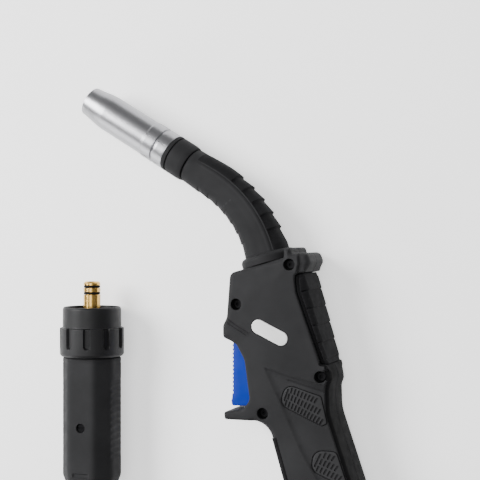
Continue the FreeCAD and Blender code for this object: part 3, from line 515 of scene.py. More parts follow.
def solid_from_face(flat, faces, height, low, side):
    """The vertices and faces of a solid under a sheet of faces."""
    rim = rim_of(faces)
    count, around = len(flat), len(rim)
    top = np.column_stack((flat, side * height))
    if low is None:
        vertices = np.vstack((top, top * (1, 1, -1)))
        made = faces + [[index + count for index in reversed(face)] for face in faces]
        rows = [rim, [index + count for index in rim]]
    else:
        edge = flat[rim]
        foot = np.column_stack((edge, np.full(around, side * (low + PARTING_CHAMFER))))
        seam = np.column_stack((edge + inward(edge) * PARTING_CHAMFER, np.full(around, side * low)))
        vertices = np.vstack((top, foot, seam))
        rows = [rim, list(range(count, count + around)),
                list(range(count + around, count + 2 * around))]
        made = faces + [rows[2]]
    for upper, lower in zip(rows, rows[1:]):
        for index in range(around):
            after = (index + 1) % around
            made.append([upper[index], lower[index], lower[after], upper[after]])
    return vertices, made


# ---- lathe and sweep work
def level_frame(direction, origin, forward=0.0):
    """A frame with +Z along a level direction and +Y up, so that angles run from one side.

    It is `forward` millimetres along the direction from the origin."""
    axis = direction.normalized()
    side = Vector((-axis.y, axis.x, 0))
    frame_axes = Matrix((side, UP, axis)).transposed().to_4x4()
    return Matrix.Translation(origin + direction * forward * MM) @ frame_axes


def lathe(name, place, profile, slot, replaced, body="torch", columns=128, shape=None,
          spacing=4.0, angles=None, step=20.0):
    """A ring turned from a closed profile of (radius, height, corner radius).

    shape(radius, angle, height) may change the radius of what is on the outside."""
    line = spaced(rounded(profile, step), spacing)
    angles = np.linspace(0, 2 * math.pi, columns, endpoint=False) if angles is None else angles
    turn, radius = np.meshgrid(angles, line[:, 0])
    height = np.repeat(line[:, 1:], len(angles), 1)
    if shape:
        radius = shape(radius, turn, height)
    vertices = np.stack((radius * np.cos(turn), radius * np.sin(turn), height), 2).reshape(-1, 3)
    return add_piece(name, vertices, wrapped(len(line), len(angles)), [slot], [replaced], body,
                     place)


def wrapped(rows, columns, capped=False):
    """Quads over a grid that closes round its columns: a ring, or a tube with two capped ends."""
    faces = []
    for row in range(rows - capped):
        below = (row + 1) % rows
        for column in range(columns):
            after = (column + 1) % columns
            faces.append((row * columns + column, row * columns + after,
                          below * columns + after, below * columns + column))
    if capped:
        last = (rows - 1) * columns
        faces += [tuple(range(columns)), tuple(range(last, last + columns))]
    return faces


def faceted(angle, flats, sharpness=22.0):
    """The radius of a rounded polygon whose flats are (direction in degrees, distance)."""
    total = 0.0
    for direction, distance in flats:
        facing = np.clip(np.cos(angle - math.radians(direction)), 0, None)
        total = total + (facing / distance) ** sharpness
    return total ** (-1 / sharpness)


def quarter_round(out):
    """How far an edge of radius 1 has fallen, where out is 0 at its start and 1 at its end."""
    return 1 - np.sqrt(1 - out ** 2)


def rounding(gaps, radius):
    """How far a face falls within a rounding's radius of its edge."""
    return radius * quarter_round(1 - np.clip(gaps / radius, 0, 1))


def ridge(gaps, width):
    """1 on a line and 0 beyond the width."""
    return eased(1 - gaps / width)


# ---- nozzle and its collar
COLLAR_LENGTH = 14.5
NOZZLE_PROFILE = [
    (9.6, 0, 0.1), (11.6, 0, 0.45), (11.6, 7.1, 0.12), (10.7, 7.4, 0.1), (10.7, 8.7, 0.1),
    (11.6, 9.0, 0.12), (11.6, 16.4, 0.2), (11.2, 16.9, 0.15), (11.2, 49.0, 6.0),
    (10.85, 53.5, 12.0), (9.95, 59.2, 12.0), (9.4, 63.2, 2.0), (9.3, 65.0, 0.5),
    (7.8, 65.0, 0.5), (7.7, 57.0, 2.0), (9.6, 45.0, 6.0),
]
GRIP_LINES, GRIP_LINE_WIDTH, GRIP_LINE_DEPTH, GRIP_LINE_TURN = 5, 0.6, 0.7, 33.0
GRIP_LINE_SPANS = ((2.4, 6.9), (9.5, 16.0))


def line_angles(columns):
    """Even angles with extra ones at the sides of each grip line."""
    angles = list(np.linspace(0, 2 * math.pi, columns, endpoint=False))
    half_angle = GRIP_LINE_WIDTH / 2 / NOZZLE_PROFILE[1][0]
    for index in range(GRIP_LINES):
        middle = math.radians(GRIP_LINE_TURN) + 2 * math.pi * index / GRIP_LINES
        angles += [middle + half_angle * side for side in (-1.25, -0.9, 0.0, 0.9, 1.25)]
    return np.sort(np.mod(angles, 2 * math.pi))


def with_grip_lines(radius, angle, height):
    """Cuts the short lengthwise lines into the nozzle's rear."""
    pitch = 2 * math.pi / GRIP_LINES
    off = np.mod(angle - math.radians(GRIP_LINE_TURN) + pitch / 2, pitch) - pitch / 2
    across = np.abs(off) * radius < GRIP_LINE_WIDTH / 2
    cut = np.zeros_like(radius, bool)
    for low, high in GRIP_LINE_SPANS:
        cut |= across & (height > low) & (height < high)
    return np.where(cut & (radius > 11.5), radius - GRIP_LINE_DEPTH, radius)


def make_nozzle():
    lathe("gas_nozzle_shell", level_frame(ahead, collar_rear, COLLAR_LENGTH), NOZZLE_PROFILE,
          "nozzle_chrome", "gas_nozzle", "nozzle", shape=with_grip_lines, spacing=1.2,
          angles=line_angles(144))


def make_collar():
    lathe("collar_sleeve", level_frame(ahead, collar_rear), [
        (7.65, 0, 0.1), (11.2, 0, 0.7), (11.6, 3.0, 4.0), (11.6, 11.3, 0.25), (10.8, 11.5, 0.1),
        (10.8, 12.1, 0.1), (9.1, 12.2, 0.1), (9.1, 22.0, 0.6), (7.65, 22.5, 0.1),
    ], "black_plastic", "insulating_collar")
    lathe("collar_front_ring", level_frame(ahead, collar_rear, 12.1), [
        (9.15, 0, 0.1), (11.6, 0, 0.35), (11.6, 2.3, 0.35), (9.15, 2.3, 0.1),
    ], "black_plastic", "collar_ring")


# ---- the neck cover
COVER_FRONT, COVER_REAR, COVER_REAR_HIGH = 10.7, 12.9, 12.2
RIB_PITCH, BACK_BAND, BAND_START = 8.4, 55.0, 5.5


def teeth(distance, count, deep, power, rise):
    """How far the neck falls away in a row of saw teeth, each rising to its crest."""
    place = distance / RIB_PITCH
    tooth = np.mod(place, 1.0)
    fall = deep * (1 - tooth ** power) * eased(tooth / rise)
    return np.where((place > 0) & (place < count), fall, 0)


def cover_radius(distance, angle):
    """The cover's radius, where angle 0 faces the inside of the bend and 180 the outside."""
    share = np.clip((distance - NECK_STRAIGHT) / (neck_length - NECK_STRAIGHT), 0, 1)
    lead_in = np.clip(distance / NECK_STRAIGHT, 0, 1) * 0.35
    grown = np.where(distance < NECK_STRAIGHT, lead_in, 0.35 + 0.65 * share)
    wide = COVER_FRONT + grown * (COVER_REAR - COVER_FRONT)
    high = COVER_FRONT + grown * (COVER_REAR_HIGH - COVER_FRONT)
    power = 2.0 + 0.7 * eased(distance / 22.0)
    radius = (np.abs(np.cos(angle) / wide) ** power + np.abs(np.sin(angle) / high) ** power) ** (-1 / power)
    off_back = np.degrees(np.abs(angle - math.pi))
    off_front = np.minimum(np.degrees(angle), 360 - np.degrees(angle))
    band = eased((BACK_BAND + 3.0 - off_back) / 4.0) * eased((distance - 5.0) / 5.0)
    radius += 0.3 * ridge(np.abs(off_back - BACK_BAND - 9.0), 7.0) * eased((distance - 3.0) / 8.0)
    radius -= 0.45 * (1 - band) * eased((distance - 3.0) / 8.0) * eased((120 - off_back) / 30.0)
    radius -= teeth(distance - 30.0, 5, 1.2, 1.6, 0.06) * eased((BACK_BAND - off_back) / 5.0)
    radius -= teeth(distance - 14.0, 7, 0.55, 1.0, 0.08) * eased((62.0 - off_front) / 30.0)
    return radius - 0.9 * eased((1.4 - distance) / 1.4)


def make_neck_cover():
    stations = np.concatenate((np.linspace(0.3, 3.0, 10), np.arange(3.35, neck_length, 0.35),
                               [neck_length]))
    columns = 150
    angles = np.linspace(0, 2 * math.pi, columns, endpoint=False)
    vertices = []
    for distance in stations:
        point, direction = neck_station(distance)
        middle = (point - DATUM) / MM
        side = Vector((direction.y, -direction.x, 0))
        radius = cover_radius(np.full(columns, distance), angles)
        for angle, reach in zip(angles, radius):
            vertices.append(middle + side * math.cos(angle) * reach + UP * math.sin(angle) * reach)
    sleeve = add_piece("neck_sleeve", vertices, wrapped(len(stations), columns, True),
                       ["black_plastic", "soft_rubber"], ["neck_cover"], crease=30.0)
    # The back band takes the darker soft rubber, partly a painted shade where the neck turns away from the light.
    shaded_back_band = np.abs(np.degrees(angles + math.pi / columns) - 180) < BACK_BAND
    colour_faces(sleeve.data.polygons[:-2], np.outer(stations[:-1] > BAND_START, shaded_back_band).ravel())


def make_neck_flange():
    lathe("neck_base", level_frame(down, neck_end), [
        (7.65, 0.02, 0.1), (13.2, 0.02, 1.2), (16.6, 0.6, 3.0), (16.6, 6.05, 0.3),
        (10.0, 6.05, 0.1), (10.0, 11.0, 0.3), (7.65, 11.0, 0.1),
    ], "black_plastic", "neck_flange", step=9.0, spacing=1.5)


# ---- the handle's shells
SIDES = {1: "left", -1: "right"}
HANDLE = [
    (-0.8, -19.4, 4.0), (32.2, -10.2, 0.6), (32.5, -4.6, 1.0), (36.4, -4.3, 1.6),
    (37.4, -7.6, 1.0), (46.2, -7.2, 3.2), (48.2, -12.8, 3.0), (45.4, -18.4, 0.6),
    (39.4, -19.6, 2.0), (39.6, -24.0, 3.0), (40.5, -30.2, 3.0), (54.7, -71.0, 1.5),
    (58.3, -71.2, 1.2), (60.2, -75.4, 4.0), (60.9, -79.4, 3.0), (59.2, -85.5, 6.0), (59.6, -99.0, 25.0),
    (74.0, -141.3, 60.0), (86.5, -193.7, 1.5), (54.9, -203.1, 1.5), (32.8, -139.0, 60.0),
    (22.9, -105.3, 12.0), (-3.6, -105.4, 1.5), (-4.2, -100.9, 1.5), (7.4, -99.0, 2.5),
    (11.9, -93.6, 5.0), (8.6, -70.0, 10.0), (3.6, -61.0, 2.0), (-5.2, -57.3, 2.4),
    (-5.2, -50.2, 3.0), (-2.8, -45.5, 6.0),
]
# Stretches of the handle's edge with a shape of their own: where they run, how far in
# and how deep the edge falls away, and how flat the fall is.
CORNERS = np.array(HANDLE)[:, :2]
SPINE = np.vstack(([(59.4, -71.0), (60.9, -78.8)], CORNERS[15:19]))
HOOK = CORNERS[4:8]
CORNER = np.array([(58.6, -71.2), (60.7, -77.8)])
SPINE_HEAD = np.array([(56.4, -70.8), (59.6, -78.0)])
GRIP_SOCKET = np.vstack(([(43.0, -19.0)], CORNERS[8:12], [(58.0, -71.2)]))
GUARD = np.vstack((CORNERS[27:21:-1], [(10.0, -105.4)]))
FRONT_EDGE = (3.4, 3.4, 0.0)
ZONE_REACH, ZONE_BLEND = 4.5, 3.0
EDGE_ZONES = ((SPINE, (2.4, 2.8, 0.5)), (CORNER, (4.4, 5.5, 0.5)), (HOOK, (3.0, 3.5, 0.0)),
              (GRIP_SOCKET, (1.2, 1.1, 0.0)), (GUARD, (1.9, 1.9, 0.0)))
CROWN_FALL, CROWN_REACH = 0.9, 15.0
SCREWS = [(36.3, -14.1), (3.9, -37.6), (54.8, -78.1), (20.3, -100.6), (43.6, -152.0), (78.8, -181.0)]
COUNTERBORE, COUNTERBORE_DEPTH, BORE_WALL = 3.4, 6.2, 0.04
BADGE = (24.7, -53.5)
BADGE_LENGTH, BADGE_WIDTH, BADGE_TILT = 23.4, 8.2, math.radians(-25.5)
PADS = [
    [(30.8, -94.8, 5.6), (34.3, -82.6, 5.6), (55.3, -89.0, 2.0), (58.9, -104.4, 1.3),
     (56.0, -106.0, 1.3)],
    [(49.8, -131.6, 5.6), (50.6, -119.8, 6.2), (64.2, -120.0, 3.0), (71.4, -140.6, 1.3),
     (68.6, -139.6, 1.3)],
]
# Each pad's long slot, the angles of a row's first and last short slots, and its rows of
# them: the middles of the first and last slot, and the count.
PAD_SLOTS = (
    (((36.0, -86.0), (33.8, -92.1)), (74.0, 57.0),
     (((38.0, -86.4), (52.3, -91.5), 8), ((36.3, -89.9), (54.2, -97.7), 10),
      ((34.7, -93.7), (55.6, -103.4), 12))),
    (((55.1, -122.1), (51.9, -128.7)), (66.0, 55.0),
     (((57.6, -122.4), (62.5, -123.8), 3), ((55.5, -126.1), (64.3, -129.4), 5),
      ((53.5, -130.1), (66.5, -135.0), 7))),
)
PANEL_LEFT = np.array([(20.9, -73.3), (24.9, -81.4), (30.6, -92.9), (36.8, -106.5), (43.7, -121.4),
                       (52.7, -136.5), (62.0, -158.0), (72.0, -188.0)])
PANEL_TOP = np.array([(20.9, -73.3), (38.0, -78.6), (58.5, -83.2)])
PANEL_DEPTH, LINE_DEPTH, RIB_HEIGHT, HOOK_SUNK = 0.85, 0.5, 0.6, 1.6
SECOND_LINE = np.array([(36.0, -80.6), (57.0, -86.4)])
DOUBLE_RIB = (np.array([(-1.4, -46.8), (11.1, -54.1)]), np.array([(-2.1, -48.5), (9.8, -55.5)]))
HOOK_STEP = np.array([(40.6, -4.0), (40.9, -9.0), (41.4, -13.5), (40.0, -19.0)])
handle_line = spaced(anticlockwise(rounded(HANDLE)), 0.9)


def edge_values(line):
    """Reach, depth and flatness of the handle's edge at each point of a line round it."""
    values = np.tile(np.array(FRONT_EDGE), (len(line), 1))
    for zone, wanted in EDGE_ZONES:
        gaps = gaps_to(line, zone)
        weight = eased((ZONE_REACH - gaps) / ZONE_BLEND)[:, None]
        values = values * (1 - weight) + np.array(wanted) * weight
    return values


handle_edge = edge_values(handle_line)
# The seam between the handle's plastic and the spine's rubber, which is in from the edge
# by a share of the edge's reach.
RUBBER_SHARE, SEAM_DEPTH, SEAM_WIDTH = 0.75, 0.3, 0.45
# The spine's darker colour, partly its rubber and partly painted shade, keeps to this distance
# from its line, below this height; a face with more than this area is a shell's flat inside.
SPINE_ZONE, SPINE_START, CAP_AREA = 5.5, -70.5, 1e-4


def handle_skin(points):
    """The handle's side face, without its pockets: crowned, rounded at its edge, panelled."""
    gaps, nearest = measure(points, handle_line)
    reach, depth, flatness = handle_edge[nearest].T
    out = 1 - np.clip(gaps / reach, 0, 1)
    fall = depth * (flatness * out + (1 - flatness) * quarter_round(out))
    seam = np.abs(gaps - RUBBER_SHARE * reach)
    fall += SEAM_DEPTH * ridge(seam, SEAM_WIDTH) * np.clip(flatness * 2, 0, 1)
    crown = CROWN_FALL * (1 - eased(gaps / CROWN_REACH))
    top_gaps = gaps_to(points, PANEL_TOP)
    panel = np.vstack((PANEL_TOP, [(100.0, -90.0), (100.0, -200.0)], PANEL_LEFT[:0:-1]))
    sunk = PANEL_DEPTH * np.minimum(eased(gaps_to(points, PANEL_LEFT) / 1.5), eased(top_gaps / 0.9))
    sunk = np.where(inside(points, panel), sunk, 0) * eased((-points[:, 1] - 60) / 8)
    height = HALF - fall - crown - sunk - LINE_DEPTH * ridge(gaps_to(points, SECOND_LINE), 0.7)
    height -= LINE_DEPTH * ridge(top_gaps, 0.6) * eased((points[:, 0] - 34) / 14)
    for rib in DOUBLE_RIB:
        height += RIB_HEIGHT * ridge(gaps_to(points, rib), 0.75)
    step_x = np.interp(-points[:, 1], -HOOK_STEP[:, 1], HOOK_STEP[:, 0])
    hooked = eased((points[:, 0] - step_x) / 1.0) * (points[:, 1] > -23.4)
    return height - HOOK_SUNK * hooked


def badge_outline():
    """The badge's round-ended outline."""
    reach, rise = BADGE_LENGTH / 2, BADGE_WIDTH / 2
    cosine, sine = math.cos(BADGE_TILT), math.sin(BADGE_TILT)
    corners = []
    for x, y in ((-reach, -rise), (reach, -rise), (reach, rise), (-reach, rise)):
        corners.append((BADGE[0] + x * cosine - y * sine, BADGE[1] + x * sine + y * cosine,
                        rise - 0.02))
    return rounded(corners, 10.0)


def circle(centre, radius, count=28):
    return arc(centre, radius, np.linspace(0, 2 * math.pi, count, endpoint=False))


def grown(line, amount):
    """A closed line moved outwards all round."""
    line = anticlockwise(line)
    return line - inward(line) * amount


POCKET_GAP, POCKET_DEPTH = 0.35, 0.5
badge_line = spaced(badge_outline(), 0.8)
pad_lines = [spaced(anticlockwise(rounded(pad)), 0.8) for pad in PADS]


def shell_face(points, side):
    """The skin with the pockets for badge and pads, and on the left the screws' counterbores."""
    height = handle_skin(points)
    for line in [badge_line] + pad_lines:
        within = depth_in(points, line) + POCKET_GAP
        height -= POCKET_DEPTH * np.clip(within / 0.1, 0, 1)
    if side > 0:
        for spot in SCREWS:
            off = np.linalg.norm(points - spot, axis=1)
            bored = np.clip((COUNTERBORE + BORE_WALL - off) / (2 * BORE_WALL), 0, 1)
            height -= 0.12 * eased((COUNTERBORE + 0.5 - off) / 0.5)
            height = height * (1 - bored) + np.minimum(height, HALF - COUNTERBORE_DEPTH) * bored
    return height


def rows(line, offsets, spacing):
    """Rows of points beside an open line within the handle, so that its face follows it."""
    points = spaced(line, spacing, closed=False)
    over = leftward(np.gradient(points, axis=0))
    beside = [points + over * offset for offset in offsets]
    return [row[depth_in(row, handle_line) > 0.6] for row in beside]


def cutter(name, corners, low, high, place=None):
    """A plain block of an outline's shape that a piece is carved with."""
    points = anticlockwise(np.array(corners, float))
    vertices = [(*point, height) for height in (low, high) for point in points]
    return add_piece(name, vertices, wrapped(2, len(points), True), [], [], None, place)


def carve(piece, cutters):
    """Cuts each block out of a piece and throws the blocks away."""
    for block in cutters:
        modifier = piece.modifiers.new("carve", "BOOLEAN")
        modifier.operation = "DIFFERENCE"
        modifier.solver = "EXACT"
        modifier.object = block
        bpy.context.view_layer.update()
        carved = piece.evaluated_get(bpy.context.evaluated_depsgraph_get())
        mesh = bpy.data.meshes.new_from_object(carved)
        piece.modifiers.clear()
        piece.data = mesh
        bpy.data.objects.remove(block)
    smooth_shaded(piece.data, CREASE)


CAVITY = [
    (5.0, -22.3), (32.3, -14.4), (36.0, -23.5), (51.0, -72.0), (55.3, -84.5), (55.7, -98.5),
    (70.0, -141.8), (81.0, -187.5), (56.4, -194.7), (36.8, -140.5), (30.6, -117.5),
    (27.0, -108.0), (25.4, -96.0), (14.9, -96.0), (14.9, -56.0), (1.8, -53.5), (0.9, -44.0),
    (2.2, -26.0),
]
WALL, TRIGGER_SLOT_HALF, COUNTERBORE_ROOM = 3.0, 8.4, 7.8
TRIGGER_SLOT = [(-7.0, -58.0), (17.0, -57.0), (17.0, -100.3), (-7.0, -100.3)]


def make_shell(side):
    name = "handle_shell_" + SIDES[side]
    loops = []
    for line in [badge_line] + pad_lines:
        loops += [grown(line, POCKET_GAP), grown(line, POCKET_GAP - 0.1)]
    if side > 0:
        for spot in SCREWS:
            loops += [circle(spot, COUNTERBORE + offset) for offset in (0.5, BORE_WALL, -BORE_WALL)]
    dense = rows(PANEL_LEFT, (-0.1, -0.6, -1.1, -1.6, 0.5), 0.9)
    dense += rows(PANEL_TOP, (0.1, -0.3, -0.6, -1.0, 0.5), 0.9)
    dense += rows(SECOND_LINE, (-0.7, -0.35, 0.0, 0.35, 0.7), 0.7)
    for rib in DOUBLE_RIB:
        dense += rows(rib, (-0.75, -0.4, 0.0, 0.4, 0.75), 0.6)
    dense += rows(SPINE_HEAD, (-0.3, 0.0, 0.3), 0.5)
    dense += rows(HOOK_STEP, (-0.4, 0.0, 0.25, 0.5, 0.75, 1.0, 1.5), 0.5)
    shell = relief(name + "_skin", handle_line, lambda points: shell_face(points, side),
                   lambda line: edge_values(line)[:, 0], ["handle_plastic", "grip_rubber"],
                   [name], loops=loops, dense=dense, low=0.0, side=side)
    low, high = (-1.0, HALF - COUNTERBORE_ROOM) if side > 0 else (-HALF + WALL, 1.0)
    carve(shell, [cutter("cavity", CAVITY, low, high),
                  cutter("slot", TRIGGER_SLOT, -TRIGGER_SLOT_HALF, TRIGGER_SLOT_HALF)])
    colour_spine(shell)


def colour_spine(shell):
    """The spine's band is moulded in softer rubber, coloured darker partly as painted shade where it faces away
    from the light.
    """
    faces = [face for face in shell.data.polygons if face.area < CAP_AREA]
    middles = middles_of(faces)
    spine_gaps = gaps_to(middles, SPINE)
    edge_gaps, nearest = measure(middles, handle_line)
    # Faces near the spine take the dark rubber, partly a painted shade on the side facing away from the light.
    rubber_and_shade = (spine_gaps < SPINE_ZONE) & (edge_gaps < RUBBER_SHARE * handle_edge[nearest, 0])
    behind = middles[:, 0] > np.interp(-middles[:, 1], -SPINE_HEAD[:, 1], SPINE_HEAD[:, 0])
    rubber_and_shade |= behind & (middles[:, 1] < SPINE_START) & (middles[:, 1] > SPINE_HEAD[1, 1])
    colour_faces(faces, rubber_and_shade)


# ---- rear grip, pads, strip and badges
GRIP_TOP = (39.7, -19.9, 1.8)
GRIP_BOTTOM = [(54.9, -70.9, 1.2), (40.8, -30.2, 3.0), (39.9, -24.0, 3.0)]
GRIP_RUN = np.array([(44.7, -18.9), (58.9, -70.9)])
GRIP_ALONG = unit(GRIP_RUN[1] - GRIP_RUN[0])
GRIP_INNER = np.array([GRIP_TOP] + GRIP_BOTTOM[::-1])[:, :2]
SEGMENT_PITCH, SEGMENT_STEP, SEGMENT_GAP = 10.2, 0.7, 0.5
BAND_WIDTH, BAND_SUNK, CUSHION_RISE = 1.9, 1.9, 1.6
SPINE_REACH, SPINE_FALL, GROOVE_DEPTH, RIM_FALL = 6.5, 5.5, 1.2, 0.7


def grip_outline():
    """The rear grip from the side, stepping in a little at the end of each segment."""
    start, end = GRIP_RUN
    back = np.array((GRIP_ALONG[1], -GRIP_ALONG[0]))
    corners = [GRIP_TOP]
    length = np.linalg.norm(end - start)
    for index in range(int(length / SEGMENT_PITCH) + 1):
        first = start + GRIP_ALONG * SEGMENT_PITCH * index
        last = start + GRIP_ALONG * min(SEGMENT_PITCH * (index + 1) - SEGMENT_GAP, length)
        corners += [(*(first + back * SEGMENT_STEP), 0.3), (*last, 0.3)]
    return rounded(corners + GRIP_BOTTOM)


def rear_grip_face(points, outline):
    """A flat band beside the shell, and cushions that fall away over the spine."""
    back_gaps = gaps_to(points, GRIP_RUN)
    gaps = gaps_to(points, outline, True)
    in_gaps = gaps_to(points, GRIP_INNER)
    out = 1 - np.clip(back_gaps / SPINE_REACH, 0, 1)
    fall = SPINE_FALL * (0.3 * out + 0.7 * quarter_round(out))
    place = ((points - GRIP_RUN[0]) @ GRIP_ALONG) / SEGMENT_PITCH
    off_groove = np.abs(place - np.round(place)) * SEGMENT_PITCH
    cushion = eased((in_gaps - BAND_WIDTH) / 0.7)
    groove = GROOVE_DEPTH * ridge(off_groove, 0.7) * (place > 0.5) * (place < 4.9)
    rim = RIM_FALL * quarter_round(1 - np.clip(gaps / 0.8, 0, 1))
    ends = eased((place - 0.16) / 0.1) * eased((5.12 - place) / 0.1)
    return HALF - BAND_SUNK - fall - rim + (CUSHION_RISE - groove) * cushion * ends


def make_rear_grip():
    outline = spaced(anticlockwise(grip_outline()), 0.6)
    dense = [grid(outline, 0.6)]
    grip = relief("rear_grip_cushions", outline, lambda points: rear_grip_face(points, outline),
                  0.8, ["grip_rubber", "soft_rubber"], ["rear_grip"], dense=dense,
                  edge_spacing=0.6, spacing=0.6)
    faces = grip.data.polygons
    colour_faces(faces, gaps_to(middles_of(faces), GRIP_INNER) > BAND_WIDTH + 0.2)


SLOT_LONG, SLOT_WIDE, SLOT_DEEP, SLOT_WALL = 2.5, 1.15, 2.2, 0.08


def slot_spans(long_slot, angles, slot_rows):
    """The ends of every slot moulded into a pad."""
    spans = [np.array(long_slot)]
    for first, last, count in slot_rows:
        for middle, angle in zip(np.linspace(first, last, count), np.linspace(*angles, count)):
            turn = math.radians(angle)
            half = np.array((math.cos(turn), math.sin(turn))) * SLOT_LONG / 2
            spans.append(np.array((middle - half, middle + half)))
    return spans


def capsule(start, end, radius):
    """A closed line round a slot with round ends."""
    along = unit(end - start)
    base = math.atan2(along[1], along[0])
    return np.vstack([arc(centre, radius, np.linspace(first, first + math.pi, 6))
                      for centre, first in ((end, base - math.pi / 2), (start, base + math.pi / 2))])


def make_pads(side):
    name = "grip_pads_" + SIDES[side]
    for number, (line, slots) in enumerate(zip(pad_lines, PAD_SLOTS)):
        spans = slot_spans(*slots)
        loops = []
        for span in spans:
            loops += [capsule(*span, SLOT_WIDE / 2), capsule(*span, SLOT_WIDE / 2 - SLOT_WALL)]

        def pad_face(points, spans=spans, line=line):
            gaps = gaps_to(points, line, True)
            height = handle_skin(points) + 0.05 - 0.35 * (1 - eased(gaps / 0.35))
            for span in spans:
                off = gaps_to(points, span)
                height -= SLOT_DEEP * np.clip((SLOT_WIDE / 2 - off) / SLOT_WALL, 0, 1)
            return height

        pad = relief("grip_pad_%s_%d" % (SIDES[side], number + 1), line, pad_face, 0.35,
                     ["grip_rubber", "pad_face", "pad_slot"], [name], loops=loops,
                     low=HALF - 4.5, side=side, spacing=1.1)
        colour_pad(pad, line, spans)


def colour_pad(pad, line, spans):
    """The pad's face is paler than its rim, and its slots take a near-black painted shade."""
    middles = middles_of(pad.data.polygons)
    colours = (depth_in(middles, line) > 0.3).astype(int)
    # Faces inside a slot take the near-black painted shade.
    for span in spans:
        colours[gaps_to(middles, span) < SLOT_WIDE / 2 - 0.02] = 2
    colour_faces(pad.data.polygons, colours)


def make_badges(side):
    name = "badge_" + SIDES[side]

    def face(points):
        return HALF - 0.02 - rounding(gaps_to(points, badge_line, True), 0.4)

    relief(name + "_plate", badge_line, face, 0.4, ["badge_white"], [name], low=HALF - 1.0,
           side=side)


STRIP = [(25.6, -114.4), (32.6, -138.4), (52.9, -196.2)]
STRIP_WIDE, STRIP_PROUD = 3.2, 0.3


def make_front_strip():
    """The rubber let into the front of the lower grip, lapping onto both sides."""
    line = spaced(np.array(STRIP), 1.0, closed=False)
    edge = np.array([handle_line[np.linalg.norm(handle_line - point, axis=1).argmin()]
                     for point in line])
    behind = leftward(np.gradient(edge, axis=0))
    outline = np.vstack((edge - behind * STRIP_PROUD, (edge + behind * STRIP_WIDE)[::-1]))

    def face(points):
        edge_gaps = gaps_to(points, outline, True)
        return handle_skin(points) + 0.25 - 0.35 * (1 - eased(edge_gaps / 0.5))

    relief("front_strip_rubber", outline, face, 0.6, ["grip_rubber"], ["front_strip"],
           edge_spacing=0.8, spacing=0.8)


# ---- trigger
TRIGGER_FRONT, FIRST_SERRATION = -2.3, -61.4
TRIGGER_REST = [
    (-2.3, -93.6, 2.0), (-2.9, -95.4, 1.0), (-2.3, -98.4, 1.0), (9.0, -98.0, 3.5),
    (11.2, -93.0, 1.0), (11.2, -81.0, 0.5), (13.2, -79.4, 0.6), (13.2, -72.4, 0.6),
    (11.6, -71.0, 0.5), (12.6, -58.3, 3.0), (-2.3, -58.8, 1.2),
]
SERRATIONS, SERRATION_PITCH, SERRATION_RADIUS, SERRATION_DEEP = 13, 2.42, 1.1, 0.8
TRIGGER_HALF = 8.0


def trigger_outline():
    """The trigger from the side, with scallops down the face that the finger pulls."""
    lines = [rounded(TRIGGER_REST, 12.0)]
    reach = math.sqrt(SERRATION_RADIUS ** 2 - (SERRATION_RADIUS - SERRATION_DEEP) ** 2)
    centre_x = TRIGGER_FRONT - SERRATION_RADIUS + SERRATION_DEEP
    half_turn = math.asin(reach / SERRATION_RADIUS)
    for index in range(SERRATIONS):
        middle = FIRST_SERRATION - SERRATION_PITCH * index
        lines.append(arc((centre_x, middle), SERRATION_RADIUS, np.linspace(half_turn, -half_turn, 7)))
    return np.vstack(lines)


def make_trigger():
    outline = spaced(anticlockwise(trigger_outline()), 0.5)

    def face(points):
        rim = rounding(gaps_to(points, outline, True), 0.55)
        bowed = 0.5 * eased((2.0 - points[:, 0]) / 6.0)
        return TRIGGER_HALF - rim - bowed

    relief("trigger_lever", outline, face, 0.55, ["trigger_blue"], ["trigger"],
           edge_spacing=0.5, spacing=1.2, body="trigger")


# ---- strain relief at the handle
RESTRICTOR_LENGTH, RING_BACK = 81.0, 69.7


def make_strain_relief():
    """A ribbed sleeve that tapers along the cable, and the ring that holds it."""
    profile = [(6.53, 0, 0.1), (10.0, 0, 0.3), (10.0, 17.5, 0.1), (12.1, 17.7, 0.4)]
    first, last, ribs = 22.0, 78.0, 11
    for index in range(ribs):
        crest = 11.9 - 3.1 * index / (ribs - 1)
        for sunk, share, radius in ((0, 0, 0.5), (0, 0.55, 0.5), (1, 0.62, 0.3), (1, 0.93, 0.3)):
            station = first + (last - first) / ribs * (index + share)
            profile.append((crest - sunk, station, radius))
    profile += [(8.3, 78.2, 0.4), (8.2, RESTRICTOR_LENGTH, 0.7), (6.53, RESTRICTOR_LENGTH, 0.1)]
    place = level_frame(down, neck_end, RESTRICTOR_END - RESTRICTOR_LENGTH)
    lathe("strain_relief", place, profile, "grip_rubber", "bend_restrictor", columns=96)

    def knurled(radius, angle, height):
        flute = 0.5 * ridge(np.abs(np.mod(angle * 18 / math.pi + 1, 2) - 1), 0.45)
        return np.where((radius > 15.5) & (height > 1.2) & (height < 4.8), radius - flute, radius)

    lathe("relief_ring", level_frame(down, neck_end, RESTRICTOR_END - RING_BACK), [
        (10.1, 0, 0.1), (15.8, 0, 0.5), (16.2, 0.8, 0.3), (16.2, 5.2, 0.3), (15.8, 6.0, 0.5),
        (10.1, 6.0, 0.1)], "black_plastic", "cable_collar", columns=288, shape=knurled,
        spacing=0.8)


# ---- the central connector
PLUG_AXIS = Vector((0, 1, 0))
SLEEVE_LENGTH, HOUSING_LENGTH = 71.0, 84.0


def eight_flats(thin, wide, corner):
    """Eight flats: thin above and below, wide at both sides, and one at each corner."""
    return tuple((turn, (wide, corner, thin, corner)[turn // 45 % 4]) for turn in range(0, 360, 45))


HOUSING_FLATS, SLEEVE_FLATS = eight_flats(15.6, 17.5, 17.2), eight_flats(9.6, 10.6, 10.5)
FLUTES, FLUTE_WIDE, FLUTE_LONG, FLUTE_DEEP = 10, 4.4, 13.0, 1.7
NUT_STEP = 18.0
SCREW_HEIGHT, SCREW_SEAT = 41.0, 13.2


